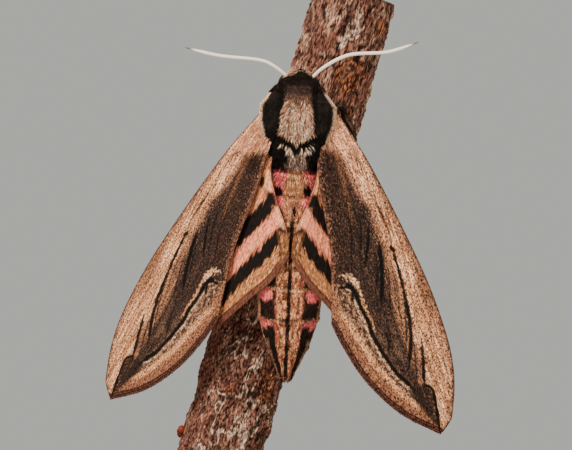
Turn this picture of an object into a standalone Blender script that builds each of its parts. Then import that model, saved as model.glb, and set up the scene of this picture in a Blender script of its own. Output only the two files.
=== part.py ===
"""Privet hawk moth at rest, life size, clinging head up to a cut stem on a plain display stand.

Metres, +Z up. The back of the moth faces -Y and +X is on the right of someone who looks at it.
The origin is the middle of the underside of the stand's base.
"""

import math

import bmesh
import bpy
from mathutils import Matrix, Vector, geometry, noise

MM = 0.001

# Driving sizes
FOREWING_LENGTH = 52.5 * MM  # hinge to apex
THORAX_HALF_WIDTH = 5.0 * MM
ABDOMEN_HALF_WIDTH = 4.9 * MM
STEM_RADIUS = 6.4 * MM
STEM_LENGTH = 83.0 * MM
BASE_SIZE = Vector((72.0, 58.0, 8.0)) * MM

# Gaps, walls and mesh fineness
GAP = 0.3 * MM  # air between two pieces that meet
WELD = 0.01 * MM
WING_THICKNESS = 0.5 * MM
VEIN_HEIGHT = 0.22 * MM
VEIN_HALF_WIDTH = 0.5 * MM

# Where things stand
STEM_LEAN = math.radians(16.6)  # from upright towards +X
STEM_FOOT = Vector((-12.6, 6.0, 18.2)) * MM  # middle of the stem's lower cut
THORAX_PLACE = Vector((1.72, -7.5, 76.5)) * MM
BODY_LEAN = math.radians(2.5)
BODY = Matrix.Translation(THORAX_PLACE) @ Matrix.Rotation(BODY_LEAN, 4, "Y")

SIDES = {"left": -1, "right": 1}  # as seen from behind the moth, where the viewer stands


def clear_scene():
    """Empties the scene, so that the file holds the model alone."""
    for old in list(bpy.data.objects):
        bpy.data.objects.remove(old)


def new_collection(name):
    """A collection linked to the scene."""
    made = bpy.data.collections.new(name)
    bpy.context.scene.collection.children.link(made)
    return made


def finish_of(name, colour, roughness, metallic=0.0):
    """A Principled material."""
    made = bpy.data.materials.new(name)
    made.use_nodes = True
    shader = made.node_tree.nodes["Principled BSDF"]
    shader.inputs["Base Color"].default_value = (*colour, 1.0)
    shader.inputs["Roughness"].default_value = roughness
    shader.inputs["Metallic"].default_value = metallic
    return made


clear_scene()
MODEL = new_collection("privet_hawk_moth")
HELPERS = new_collection("helpers")

BROWN_SCALES = finish_of("brown_scales", (0.24, 0.15, 0.10), 0.85)
PINK_SCALES = finish_of("pink_scales", (0.70, 0.32, 0.28), 0.85)
BLACK_FUR = finish_of("black_fur", (0.02, 0.015, 0.012), 0.9)
GREY_FUR = finish_of("grey_fur", (0.30, 0.23, 0.18), 0.9)
PALE_SCALES = finish_of("pale_scales", (0.80, 0.68, 0.60), 0.8)
EYE_DARK = finish_of("eye_dark", (0.03, 0.02, 0.015), 0.25)
HORN_BROWN = finish_of("horn_brown", (0.16, 0.08, 0.04), 0.45)
BARK = finish_of("bark", (0.20, 0.12, 0.09), 0.95)
BRASS = finish_of("brass", (0.72, 0.52, 0.24), 0.3, 1.0)
BASE_WOOD = finish_of("base_wood", (0.13, 0.08, 0.05), 0.5)


# General tools for building a node


def place(name, mesh, finish=None, collection=MODEL):
    """An object for a mesh, in a collection, with its material."""
    made = bpy.data.objects.new(name, mesh)
    collection.objects.link(made)
    if finish:
        mesh.materials.clear()
        mesh.materials.append(finish)
    return made


def frozen_mesh(obj):
    """The object's mesh with its modifiers applied, or a curve turned to a mesh with its caps welded."""
    bpy.context.view_layer.update()
    graph = bpy.context.evaluated_depsgraph_get()
    mesh = bpy.data.meshes.new_from_object(obj.evaluated_get(graph))
    made = bmesh.new()
    made.from_mesh(mesh)
    bmesh.ops.remove_doubles(made, verts=made.verts, dist=WELD)
    bmesh.ops.recalc_face_normals(made, faces=made.faces)
    made.to_mesh(mesh)
    made.free()
    return mesh


def freeze(obj):
    """Applies the modifiers of a mesh object."""
    mesh = frozen_mesh(obj)
    obj.modifiers.clear()
    obj.data = mesh
    return obj


def reshape(obj, rule):
    """Moves each vertex to where the rule puts it."""
    for vertex in obj.data.vertices:
        vertex.co = rule(vertex.co)
    return obj


def smooth_faces(obj, angle=math.radians(40)):
    """Smooth shading that keeps the hard edges."""
    obj.data.shade_smooth()
    obj.data.set_sharp_from_angle(angle=angle)
    return obj


def turned(name, profile, steps, finish):
    """A closed body of revolution about Z. The profile holds (radius, height), top to bottom."""
    mesh = bpy.data.meshes.new(name)
    points = [(radius, 0.0, height) for radius, height in profile]
    mesh.from_pydata(points, [(i, i + 1) for i in range(len(points) - 1)], [])
    made = place(name, mesh, finish)
    screw = made.modifiers.new("turn", "SCREW")
    screw.steps = screw.render_steps = steps
    screw.use_merge_vertices = True
    screw.merge_threshold = WELD
    return freeze(made)


def ball(name, radii, segments, rings, finish):
    """An ellipsoid from a sphere."""
    shell = bmesh.new()
    bmesh.ops.create_uvsphere(shell, u_segments=segments, v_segments=rings, radius=1.0)
    bmesh.ops.scale(shell, vec=radii, verts=shell.verts)
    mesh = bpy.data.meshes.new(name)
    shell.to_mesh(mesh)
    shell.free()
    return place(name, mesh, finish)


def along_spline(knots, count):
    """Count points, evenly spaced in the parameter, on a smooth curve through the knots."""
    ends = [knots[0] * 2 - knots[1], *knots, knots[-1] * 2 - knots[-2]]
    found = []
    for step in range(count):
        at = step / (count - 1) * (len(knots) - 1)
        start = min(int(at), len(knots) - 2)
        t = at - start
        a, b, c, d = ends[start : start + 4]
        found.append(
            0.5 * (2 * b + (c - a) * t + (2 * a - 5 * b + 4 * c - d) * t**2
                   + (3 * b - a - 3 * c + d) * t**3)
        )
    return found


def tube(name, points, radii, finish, sides=8):
    """A closed round tube along points, with its own radius at each."""
    line = bpy.data.curves.new(name, "CURVE")
    line.dimensions = "3D"
    line.bevel_depth = 1.0
    line.bevel_resolution = sides // 2 - 2
    line.use_fill_caps = True
    spline = line.splines.new("POLY")
    spline.points.add(len(points) - 1)
    for knot, point, radius in zip(spline.points, points, radii):
        knot.co = (*point, 1.0)
        knot.radius = radius
    guide = bpy.data.objects.new(name + "_line", line)
    HELPERS.objects.link(guide)
    mesh = frozen_mesh(guide)
    bpy.data.objects.remove(guide)
    return place(name, mesh, finish)


def keep_largest(obj):
    """Drops every closed surface but the one with the most volume."""
    made = bmesh.new()
    made.from_mesh(obj.data)
    left = set(made.verts)
    shells = []
    while left:
        shell = {left.pop()}
        edge = set(shell)
        while edge:
            edge = {e.other_vert(v) for v in edge for e in v.link_edges} - shell
            shell |= edge
        left -= shell
        shells.append(shell)

    def size(shell):
        low = [min(v.co[i] for v in shell) for i in range(3)]
        high = [max(v.co[i] for v in shell) for i in range(3)]
        return sum(b - a for a, b in zip(low, high))

    shells.sort(key=size)
    for shell in shells[:-1]:
        bmesh.ops.delete(made, geom=list(shell), context="VERTS")
    made.to_mesh(obj.data)
    made.free()
    return obj


def grown(obj, gap):
    """A helper copy of a node, swollen by the gap along its normals."""
    mesh = obj.data.copy()
    made = bmesh.new()
    made.from_mesh(mesh)
    bmesh.ops.recalc_face_normals(made, faces=made.faces)
    made.normal_update()
    moves = [v.normal * (gap * v.calc_shell_factor()) for v in made.verts]
    for vertex, move in zip(made.verts, moves):
        vertex.co += move
    made.to_mesh(mesh)
    made.free()
    copy = place(obj.name + "_grown", mesh, collection=HELPERS)
    copy.matrix_world = obj.matrix_world
    copy.hide_render = True
    copy.display_type = "WIRE"
    return copy


def cut_clear(obj, *neighbours, gap=GAP):
    """Cuts from a node the room that its neighbours and the air gap round them take."""
    for neighbour in neighbours:
        cutter = grown(neighbour, gap)
        cut = obj.modifiers.new("clear", "BOOLEAN")
        cut.operation = "DIFFERENCE"
        cut.solver = "EXACT"
        cut.object = cutter
        freeze(obj)
        bpy.data.objects.remove(cutter)
    return keep_largest(obj)


def fuse(obj, pieces):
    """Joins closed pieces to a node in one union and removes them."""
    group = bpy.data.collections.new(obj.name + "_pieces")
    bpy.context.scene.collection.children.link(group)
    for piece in pieces:
        MODEL.objects.unlink(piece)
        group.objects.link(piece)
    join = obj.modifiers.new("join", "BOOLEAN")
    join.operation = "UNION"
    join.operand_type = "COLLECTION"
    join.collection = group
    join.solver = "MANIFOLD"
    freeze(obj)
    for piece in pieces:
        bpy.data.objects.remove(piece)
    bpy.data.collections.remove(group)
    return keep_largest(obj)


def from_body(side, depth, ahead):
    """A world point from its place in the moth: to the right, towards the belly and towards the head."""
    return BODY @ Vector((side, depth, ahead))


# The stem: a cut length of a young branch with cracked bark


STEM_AHEAD = Vector((math.sin(STEM_LEAN), 0.0, math.cos(STEM_LEAN)))
STEM_FRONT = Vector((0.0, -1.0, 0.0))
STEM_RIGHT = Vector((math.cos(STEM_LEAN), 0.0, -math.sin(STEM_LEAN)))
STEM_SIDES = 26
STEM_RINGS = 48
BARK_SWELL = 0.45 * MM  # the broad, low swellings of the bark
SWELL_SIZE = 9.0 * MM
BARK_RIDGE = 0.32 * MM  # the ridges that run along the stem
RIDGE_SIZE = 4.0 * MM
RIDGES = 2.2  # how finely the ridges divide the stem's girth
BUD_RADIUS = 0.8 * MM
BUD_AT = 8.4 * MM  # up from the lower cut
BUD_TURN = math.radians(-86)
KNOT_AT = 31.6 * MM
KNOT_TURN = math.radians(-74)
KNOT_HEIGHT = 0.55 * MM
KNOT_SIZE = 2.4 * MM


def bark_radius(height, turn):
    """The stem's radius at a height above its foot, and at a turn from the front towards the right."""
    around = Vector((math.sin(turn), math.cos(turn), 0.0))
    swell = noise.noise(around + Vector((0.0, 0.0, height / SWELL_SIZE)))
    ridge = noise.noise(around * RIDGES + Vector((5.0, 0.0, height / RIDGE_SIZE)))
    off = math.hypot(height - KNOT_AT, STEM_RADIUS * math.remainder(turn - KNOT_TURN, math.tau))
    knot = KNOT_HEIGHT * math.exp(-((off / KNOT_SIZE) ** 2))
    return STEM_RADIUS + BARK_SWELL * swell + BARK_RIDGE * ridge + knot


def stem_point(height, turn, clear=0.0):
    """A world point on the bark, or clear of it."""
    outward = STEM_FRONT * math.cos(turn) + STEM_RIGHT * math.sin(turn)
    return STEM_FOOT + STEM_AHEAD * height + outward * (bark_radius(height, turn) + clear)


def stem_height(world_z):
    """The height along the stem of the axis point that is at a world height."""
    return (world_z - STEM_FOOT.z) / STEM_AHEAD.z


def make_stem():
    """A turned rod whose skin follows the bark, with one bud low on its left."""
    rings = [STEM_LENGTH * (1 - i / (STEM_RINGS - 1)) for i in range(STEM_RINGS)]
    profile = [(0.0, STEM_LENGTH), *((STEM_RADIUS, h) for h in rings), (0.0, 0.0)]
    stem = turned("perch", profile, STEM_SIDES, BARK)

    def follow_bark(point):
        if point.xy.length < STEM_RADIUS / 2:
            return STEM_FOOT + STEM_AHEAD * point.z
        turn = math.atan2(point.x, -point.y)
        return stem_point(point.z, turn)

    reshape(stem, follow_bark)
    bud = ball("bud", (BUD_RADIUS, BUD_RADIUS, BUD_RADIUS * 1.3), 8, 6, BARK)
    bud.data.transform(Matrix.Translation(stem_point(BUD_AT, BUD_TURN, BUD_RADIUS * 0.35)))
    fuse(stem, [bud])
    return smooth_faces(stem)


# The stand: a flat base and one rod in line with the stem


ROD_RADIUS = 1.75 * MM
ROD_SIDES = 20
BASE_CORNER = 6.0 * MM
BASE_CHAMFER = 0.8 * MM


def make_stand():
    """The base with rounded corners, and the rod from the base up to the stem's lower cut."""
    block = bmesh.new()
    bmesh.ops.create_cube(block, size=1.0)
    bmesh.ops.scale(block, vec=BASE_SIZE, verts=block.verts)
    bmesh.ops.translate(block, vec=(0, 0, BASE_SIZE.z / 2), verts=block.verts)
    upright = [e for e in block.edges if abs(e.verts[0].co.z - e.verts[1].co.z) > BASE_SIZE.z / 2]
    bmesh.ops.bevel(block, geom=upright, offset=BASE_CORNER, segments=5, profile=0.5, affect="EDGES")
    rim = [e for e in block.edges if all(v.co.z > BASE_SIZE.z - WELD for v in e.verts)]
    bmesh.ops.bevel(block, geom=rim, offset=BASE_CHAMFER, segments=2, profile=0.5, affect="EDGES")
    mesh = bpy.data.meshes.new("stand_base")
    block.to_mesh(mesh)
    block.free()
    base = smooth_faces(place("stand_base", mesh, BASE_WOOD))

    length = (STEM_FOOT.z - BASE_SIZE.z) / STEM_AHEAD.z + ROD_RADIUS * 2
    post = bmesh.new()
    bmesh.ops.create_cone(post, cap_ends=True, segments=ROD_SIDES, radius1=ROD_RADIUS,
                          radius2=ROD_RADIUS, depth=length)
    bmesh.ops.translate(post, vec=(0, 0, -length / 2 - GAP), verts=post.verts)
    mesh = bpy.data.meshes.new("stand_rod")
    post.to_mesh(mesh)
    post.free()
    rod = place("stand_rod", mesh, BRASS)
    rod.data.transform(Matrix.Translation(STEM_FOOT) @ Matrix.Rotation(STEM_LEAN, 4, "Y"))
    cut_clear(rod, base)
    smooth_faces(rod)


# Head, in the moth's own frame: x to the right, y towards the belly, z towards the head


HEAD_CENTRE = Vector((0.0, 1.9, 6.0)) * MM
HEAD_RADII = Vector((2.75, 2.9, 2.5)) * MM
EYE_RADII = Vector((1.25, 1.55, 1.5)) * MM
EYE_CENTRE = Vector((2.05, 2.7, 6.5)) * MM
PALP_RADII = Vector((0.8, 0.85, 2.3)) * MM
PALP_CENTRE = Vector((0.82, 4.2, 7.0)) * MM
PALP_TILT = math.radians(24)
TONGUE_CENTRE = Vector((0.0, 5.9, 5.0)) * MM
TONGUE_TURNS = 1.6
TONGUE_RADII = (0.45 * MM, 1.45 * MM)
TONGUE_THICKNESS = 0.27 * MM
ANTENNA_KNOTS = {
    "left": [(-1.4, 0.9, 7.2), (-3.9, 0.5, 9.0), (-6.4, 0.3, 9.9), (-12.6, 0.0, 10.3), (-17.9, -0.2, 11.3)],
    "right": [(1.7, 0.9, 7.2), (3.9, 0.5, 9.3), (7.7, 0.3, 11.3), (13.6, 0.0, 12.0), (18.3, -0.2, 13.7)],
}
ANTENNA_POINTS = 20
ANTENNA_RADIUS = 0.3 * MM
ANTENNA_ROOT = 0.26 * MM
ANTENNA_TIP = 0.1 * MM
TIP_START = 0.84  # share of the antenna where the hooked tip begins


def antenna_radius(share):
    """Thin at the root, thickest past the middle, then a fine hooked tip."""
    if share < TIP_START:
        return ANTENNA_ROOT + (ANTENNA_RADIUS - ANTENNA_ROOT) * min(1.0, share * 4)
    fade = (share - TIP_START) / (1 - TIP_START)
    return ANTENNA_RADIUS + (ANTENNA_TIP - ANTENNA_RADIUS) * fade


def make_head(thorax):
    """Head with its eyes, antennae, palps and rolled tongue."""
    head = ball("head", HEAD_RADII, 18, 12, GREY_FUR)
    head.data.transform(Matrix.Translation(HEAD_CENTRE))
    cut_clear(thorax, head)
    pieces = [head]
    for word, side in SIDES.items():
        eye = ball("eye_" + word, EYE_RADII, 14, 10, EYE_DARK)
        eye.data.transform(Matrix.Translation(EYE_CENTRE * Vector((side, 1, 1))))
        cut_clear(head, eye)
        cut_clear(thorax, eye)
        pieces.append(eye)
    for word, side in SIDES.items():
        knots = [Vector(k) * MM for k in ANTENNA_KNOTS[word]]
        points = along_spline(knots, ANTENNA_POINTS)
        radii = [antenna_radius(i / (ANTENNA_POINTS - 1)) for i in range(ANTENNA_POINTS)]
        antenna = tube("antenna_" + word, points, radii, PALE_SCALES, sides=6)
        cut_clear(antenna, head, thorax)
        pieces.append(antenna)
    for word, side in SIDES.items():
        palp = ball("palp_" + word, PALP_RADII, 10, 8, PALE_SCALES)
        lay = Matrix.Rotation(PALP_TILT, 4, "X")
        palp.data.transform(Matrix.Translation(PALP_CENTRE * Vector((side, 1, 1))) @ lay)
        cut_clear(palp, head, *pieces[1:3])
        cut_clear(palp, thorax)
        pieces.append(palp)
    pieces.append(make_tongue(head, thorax, pieces[-2:]))
    for piece in pieces:
        smooth_faces(piece)
    return pieces


def make_tongue(head, thorax, palps):
    """The tongue, rolled up like a watch spring between the palps."""
    count = round(14 * TONGUE_TURNS)
    points = []
    for step in range(count):
        share = step / (count - 1)
        turn = share * TONGUE_TURNS * math.tau
        radius = TONGUE_RADII[0] + (TONGUE_RADII[1] - TONGUE_RADII[0]) * share
        points.append(TONGUE_CENTRE + Vector((0.0, -math.cos(turn), math.sin(turn))) * radius)
    tongue = tube("proboscis", points, [TONGUE_THICKNESS] * count, HORN_BROWN, sides=6)
    return cut_clear(tongue, head, thorax, *palps)


# Thorax with the two shoulder flaps, and the abdomen


THORAX_PROFILE = [  # (share of the half width, height towards the head)
    (0.0, 7.2), (0.36, 7.1), (0.62, 6.6), (0.80, 5.6), (0.93, 4.2), (1.0, 2.3), (1.02, 0.0),
    (0.98, -2.3), (0.90, -4.6), (0.74, -6.4), (0.5, -7.2), (0.0, -7.3),
]
THORAX_DEPTH = 0.98  # back to belly, against side to side
TEGULA_RADII = Vector((2.35, 2.9, 5.0)) * MM
TEGULA_CENTRE = Vector((3.45, -1.75, 1.0)) * MM
TEGULA_TILT = math.radians(7)

ABDOMEN_DROP = 1.3 * MM  # the abdomen's axis lies this far below the thorax's
SEGMENT_ENDS = [-6.6, -11.0, -15.0, -19.9, -25.1, -30.1, -34.6, -38.9]  # millimetres behind the thorax
SEGMENT_WIDTHS = [0.70, 0.84, 0.93, 0.98, 1.0, 0.90, 0.60, 0.16]  # shares of the half width
SEGMENT_STEP = 0.035  # how far a segment's hind rim stands over the next one
ABDOMEN_DEPTH = 0.87


def make_thorax():
    """The barrel of the thorax and the flaps that lie over the wing roots."""
    profile = [(THORAX_HALF_WIDTH * share, height * MM) for share, height in THORAX_PROFILE]
    thorax = turned("thorax", profile, 20, GREY_FUR)
    reshape(thorax, lambda p: Vector((p.x, p.y * THORAX_DEPTH, p.z)))
    return thorax


def make_tegulae(thorax):
    """Two long pads of black fur on the shoulders."""
    flaps = []
    for word, side in SIDES.items():
        flap = ball("tegula_" + word, TEGULA_RADII, 14, 12, BLACK_FUR)
        lean = Matrix.Rotation(TEGULA_TILT * side, 4, "Y")
        flap.data.transform(Matrix.Translation(TEGULA_CENTRE * Vector((side, 1, 1))) @ lean)
        cut_clear(flap, thorax)
        flaps.append(smooth_faces(flap))
    return flaps


def make_abdomen(thorax):
    """Seven overlapping rings that taper to the tip."""
    profile = [(0.0, SEGMENT_ENDS[0])]
    for i, (end, width) in enumerate(zip(SEGMENT_ENDS, SEGMENT_WIDTHS)):
        if i:
            before = SEGMENT_ENDS[i - 1]
            previous = SEGMENT_WIDTHS[i - 1]
            middle = (width + previous) / 2 + SEGMENT_STEP / 2
            profile.append((middle, before + (end - before) * 0.5))
            profile.append((width + SEGMENT_STEP, before + (end - before) * 0.93))
        profile.append((width, end))
    profile.append((0.0, SEGMENT_ENDS[-1] - 0.1))
    profile = [(ABDOMEN_HALF_WIDTH * share, height * MM) for share, height in profile]
    abdomen = turned("abdomen", profile, 18, BROWN_SCALES)
    drop_over = (SEGMENT_ENDS[2] - SEGMENT_ENDS[0]) * MM

    def lower(point):
        share = min(1.0, max(0.0, (point.z - SEGMENT_ENDS[0] * MM) / drop_over))
        return Vector((point.x, point.y * ABDOMEN_DEPTH + ABDOMEN_DROP * share, point.z))

    reshape(abdomen, lower)
    cut_clear(abdomen, thorax)
    return smooth_faces(abdomen)


# Wings. A wing is drawn flat, in millimetres: x from the hinge to the apex, y towards the front edge


FORE_COSTA = [(-3.0, 0.0), (0.3, 0.6), (8.8, 2.8), (22.4, 5.0), (32.5, 6.0), (41.9, 5.7), (49.1, 3.4), (52.5, 0.2)]
FORE_TERMEN = [(52.5, 0.2), (47.2, -5.0), (40.7, -8.6), (34.6, -10.3), (30.7, -10.9)]
FORE_INNER = [(30.7, -10.9), (26.6, -9.5), (19.8, -7.4), (9.9, -5.9), (4.0, -4.5), (-3.0, -3.6)]
FORE_VEINS = [
    [(2.5, 0.1), (13.0, 2.0), (28.0, 4.3)],
    [(2.5, -0.9), (13.0, 0.5), (22.5, 1.9)],
    [(14.0, 0.7), (24.0, 3.0), (34.5, 4.8)],
    [(22.5, 1.9), (31.0, 3.3), (41.0, 4.4)],
    [(22.5, 1.9), (35.0, 2.2), (49.3, 0.5)],
    [(23.0, 1.2), (35.0, 0.0), (47.0, -3.6)],
    [(22.8, 0.2), (34.0, -1.9), (43.6, -5.9)],
    [(22.0, -1.1), (32.0, -3.8), (39.8, -7.9)],
    [(17.0, -2.2), (27.0, -5.0), (35.6, -9.4)],
    [(2.5, -2.3), (10.0, -2.2), (17.0, -2.2), (22.0, -1.1), (22.5, 1.9)],
    [(3.5, -3.3), (13.0, -4.9), (22.0, -6.6), (29.5, -9.9)],
]
HIND_COSTA = [(-2.0, 0.9), (2.0, 1.4), (10.0, 2.8), (20.0, 3.2), (26.5, 1.8), (29.7, -0.9)]
HIND_TERMEN = [(29.7, -0.9), (26.8, -2.5), (22.5, -5.1), (18.5, -7.6), (14.1, -9.0)]
HIND_INNER = [(14.1, -9.0), (10.7, -7.4), (6.4, -3.7), (2.3, -1.2), (-2.0, -1.6)]
HIND_VEINS = [
    [(1.5, 0.4), (12.0, 1.9), (26.4, 0.3)],
    [(10.0, 1.0), (17.0, -0.4), (25.6, -2.4)],
    [(1.5, -0.3), (10.0, -1.2), (21.8, -4.8)],
    [(8.0, -1.1), (13.0, -3.4), (18.0, -7.0)],
    [(2.5, -0.8), (8.0, -3.6), (13.6, -8.1)],
]
WING_GRID = 4.0  # millimetres between the points that carry the curvature
EDGE_STEP = 2.2  # millimetres between points on the edge
VEIN_STEP = 3.4
VEIN_MERGE = 0.12

# How each wing is held: its hinge in the moth's frame, the sweep away from the body's axis, the
# roof slope down to the front edge, and the pitch of the apex towards the stem
WING_HOLD = {
    "forewing_left": dict(hinge=(5.8, -1.3, 1.05), sweep=25.5, roof=34.2, pitch=15.7),
    "forewing_right": dict(hinge=(5.75, -1.3, 1.9), sweep=20.7, roof=12.2, pitch=2.4),
    "hindwing_left": dict(hinge=(4.15, -0.6, -4.25), sweep=16.5, roof=24.4, pitch=6.7),
    "hindwing_right": dict(hinge=(3.85, -0.6, -4.4), sweep=15.2, roof=27.6, pitch=4.9),
}
WING_FORM = {
    "forewing": (FORE_COSTA, FORE_TERMEN, FORE_INNER, FORE_VEINS),
    "hindwing": (HIND_COSTA, HIND_TERMEN, HIND_INNER, HIND_VEINS),
}
ARCH = 1.3 * MM  # how far the membrane's middle bulges towards the viewer
ARCH_MIDDLE = (26.0, -2.5)
ARCH_REACH = (34.0, 11.0)
WING_LAYER = 1.4 * MM  # from a forewing's middle surface to the hindwing's below it
COVER_TOP = -5.1 * MM  # the surface that carries the forewings over the abdomen, at the midline
COVER_BEND = 0.09 / MM
COVER_FRONT = -8.0 * MM  # ahead of this the cover falls away, beside the thorax
COVER_FALL = 0.6
BLEND = 0.8 * MM


def stepped(knots, step):
    """Points about a step apart on the curve through flat knots."""
    knots = [Vector((*k, 0.0)) for k in knots]
    length = sum((b - a).length for a, b in zip(knots, knots[1:]))
    return along_spline(knots, max(3, round(length / step) + 1))


def distance_to(point, line):
    """The distance from a flat point to a line of points."""
    best = math.inf
    for a, b in zip(line, line[1:]):
        near, share = geometry.intersect_point_line(point, a, b)
        near = a if share < 0 else b if share > 1 else near
        best = min(best, (point - near).length)
    return best


def beside(line, offset):
    """The line moved sideways by an offset."""
    moved = []
    for i, point in enumerate(line):
        ahead = line[min(i + 1, len(line) - 1)] - line[max(i - 1, 0)]
        across = Vector((-ahead.y, ahead.x, 0.0)).normalized()
        moved.append(point + across * offset)
    return moved


def wing_axes(side, hinge, sweep, roof, pitch):
    """A wing's hinge, and its axes to the apex, to the front edge and out of its face."""
    sweep, roof, pitch = (math.radians(a) for a in (sweep, roof, pitch))
    along = Vector((side * math.sin(sweep) * math.cos(pitch), math.sin(pitch),
                    -math.cos(sweep) * math.cos(pitch)))
    flat_front = Vector((side * math.cos(sweep), 0.0, math.sin(sweep)))
    flat_up = along.cross(flat_front) * side
    front = flat_front * math.cos(roof) - flat_up * math.sin(roof)
    up = flat_up * math.cos(roof) + flat_front * math.sin(roof)
    return Vector((side * hinge[0], hinge[1], hinge[2])) * MM, along, front, up


def wing_depth(side, x, z):
    """How deep a forewing's middle surface lies at a place seen from behind the moth. It's arched,
    it goes on past the inner margin, and over the body it follows the cover."""
    hold = WING_HOLD["forewing_left" if side < 0 else "forewing_right"]
    hinge, along, front, up = wing_axes(side, **hold)
    x_off, z_off = x - hinge.x, z - hinge.z
    spread = along.x * front.z - along.z * front.x
    u = (x_off * front.z - z_off * front.x) / spread
    v = (along.x * z_off - along.z * x_off) / spread
    bend = ((u / MM - ARCH_MIDDLE[0]) / ARCH_REACH[0]) ** 2 + ((v / MM - ARCH_MIDDLE[1]) / ARCH_REACH[1]) ** 2
    own = hinge.y + u * along.y + v * front.y + ARCH * (1 - bend) * up.y
    cover = COVER_TOP + COVER_BEND * x * x + COVER_FALL * max(0.0, z - COVER_FRONT)
    return (own + cover - math.hypot(own - cover, BLEND)) / 2


def wing_plan(costa, termen, inner, veins):
    """A wing's flat drawing split into triangles, with points along its veins and their edges."""
    edge = stepped(costa, EDGE_STEP)[:-1] + stepped(termen, EDGE_STEP)[:-1] + stepped(inner, EDGE_STEP)
    half = VEIN_HALF_WIDTH / MM
    ribs = [stepped(vein, VEIN_STEP) for vein in veins]
    points = [p.xy for p in edge]
    lines = [(i, (i + 1) % len(edge)) for i in range(len(edge))]
    outline = list(range(len(edge)))
    for rib in ribs:
        for strand in (rib, beside(rib, half), beside(rib, -half)):
            first = len(points)
            points += [p.xy for p in strand]
            lines += [(first + i, first + i + 1) for i in range(len(strand) - 1)]
    for column in range(round(FOREWING_LENGTH / MM / WING_GRID) + 1):
        for row in range(-4, 3):
            spot = Vector((column * WING_GRID, (row + column % 2 / 2) * WING_GRID, 0.0))
            room = min(distance_to(spot, rib) for rib in ribs)
            if min(room, distance_to(spot, edge)) > WING_GRID * 0.45:
                points.append(spot.xy)
    flat, _, faces, *_ = geometry.delaunay_2d_cdt(points, lines, [outline], 1, VEIN_MERGE)
    flat = [p.to_3d() for p in flat]
    raised = [max(0.0, 1 - min(distance_to(p, rib) for rib in ribs) / half) for p in flat]
    return flat, [tuple(face) for face in faces], raised


def make_wing(name, side):
    """A thin arched plate with its veins raised, both faces split into the same triangles."""
    flat, faces, raised = wing_plan(*WING_FORM[name.split("_")[0]])
    hinge, along, front, _ = wing_axes(side, **WING_HOLD[name])
    below = WING_LAYER if name.startswith("hindwing") else 0.0
    middle = bmesh.new()
    for point in flat:
        spot = hinge + (along * point.x + front * point.y) * MM
        middle.verts.new((spot.x, wing_depth(side, spot.x, spot.z) + below, spot.z))
    middle.verts.ensure_lookup_table()
    middle.verts.index_update()
    for face in faces:
        middle.faces.new([middle.verts[i] for i in face])
    middle.normal_update()
    halves = [v.normal * (WING_THICKNESS / 2 + VEIN_HEIGHT * rise) for v, rise in zip(middle.verts, raised)]
    upper = [v.co + half for v, half in zip(middle.verts, halves)]
    lower = [v.co - half for v, half in zip(middle.verts, halves)]
    rim = [e.link_loops[0] for e in middle.edges if e.is_boundary]
    count = len(flat)
    walls = []
    for loop in rim:
        a, b = loop.vert.index, loop.link_loop_next.vert.index
        walls.append((b, a, a + count, b + count))
    middle.free()
    under = [tuple(i + count for i in reversed(face)) for face in faces]
    mesh = bpy.data.meshes.new(name)
    mesh.from_pydata(upper + lower, [], faces + under + walls)
    return freeze(place(name, mesh, BROWN_SCALES if "fore" in name else PINK_SCALES))


def make_wings(thorax, flaps, abdomen):
    """The four wings, cut clear of the body that they grow from."""
    wings = []
    for pair in ("forewing", "hindwing"):
        for word, side in SIDES.items():
            wing = make_wing(pair + "_" + word, side)
            if pair == "forewing":
                cut_clear(wing, thorax, flaps[side > 0])
            else:
                cut_clear(wing, thorax, abdomen)
            wings.append(smooth_faces(wing))
    return wings


# Legs, in the world's frame because they grip the stem


THIGH = [(0.0, 0.75), (0.25, 0.95), (0.6, 0.8), (0.92, 0.5)]  # share of the length, radius in millimetres
SHIN = [(0.08, 0.5), (0.35, 0.56), (0.7, 0.46), (0.97, 0.36)]
FOOT_JOINTS = 5
FOOT_RADII = (0.3 * MM, 0.25 * MM)  # at the wide and the narrow end of each joint of the foot
CLAW_LENGTH = 0.9 * MM
CLAW_RADIUS = 0.16 * MM
CLAW_SPREAD = math.radians(28)
CLAW_HOOK = 0.25  # how far the claws turn towards the bark
SPUR_LENGTH = 1.5 * MM
SPUR_RADIUS = 0.17 * MM
SPUR_SPREAD = math.radians(24)
# Hip and knee in the moth's frame, in millimetres, then the heights above the thorax's middle and
# the turns round the stem, in degrees, of the ankle, the middle of the foot and the claws
LEGS = {
    "foreleg_left": ((-1.3, 3.6, 2.0), (-2.9, 7.4, 4.2), [(2.8, -62), (1.6, -88), (0.2, -114)]),
    "foreleg_right": ((1.3, 3.6, 2.0), (3.6, 6.4, 4.6), [(4.4, -6), (3.0, 14), (1.4, 30)]),
    "midleg_left": ((-1.9, 3.9, -0.4), (-4.6, 7.4, 0.6), [(-3.0, -66), (-4.6, -92), (-6.0, -118)]),
    "midleg_right": ((1.9, 3.9, -0.4), (6.6, 5.6, 3.9), [(-0.4, 74), (-2.6, 98), (-4.4, 122)]),
    "hindleg_left": ((-2.0, 3.9, -3.2), (-5.4, 7.4, -4.8), [(-10.4, -58), (-13.8, -64), (-17.2, -66)]),
    "hindleg_right": ((2.0, 3.9, -3.2), (5.6, 6.4, -4.4), [(-9.8, 60), (-13.2, 66), (-16.6, 68)]),
}


def clear_of_stem(point, room):
    """The point, or the nearest one with that room between it and the bark."""
    offset = point - STEM_FOOT
    height = offset.dot(STEM_AHEAD)
    outward = offset - STEM_AHEAD * height
    turn = math.atan2(outward.dot(STEM_RIGHT), outward.dot(STEM_FRONT))
    if outward.length > bark_radius(height, turn) + room:
        return point
    return stem_point(height, turn, room)


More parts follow.
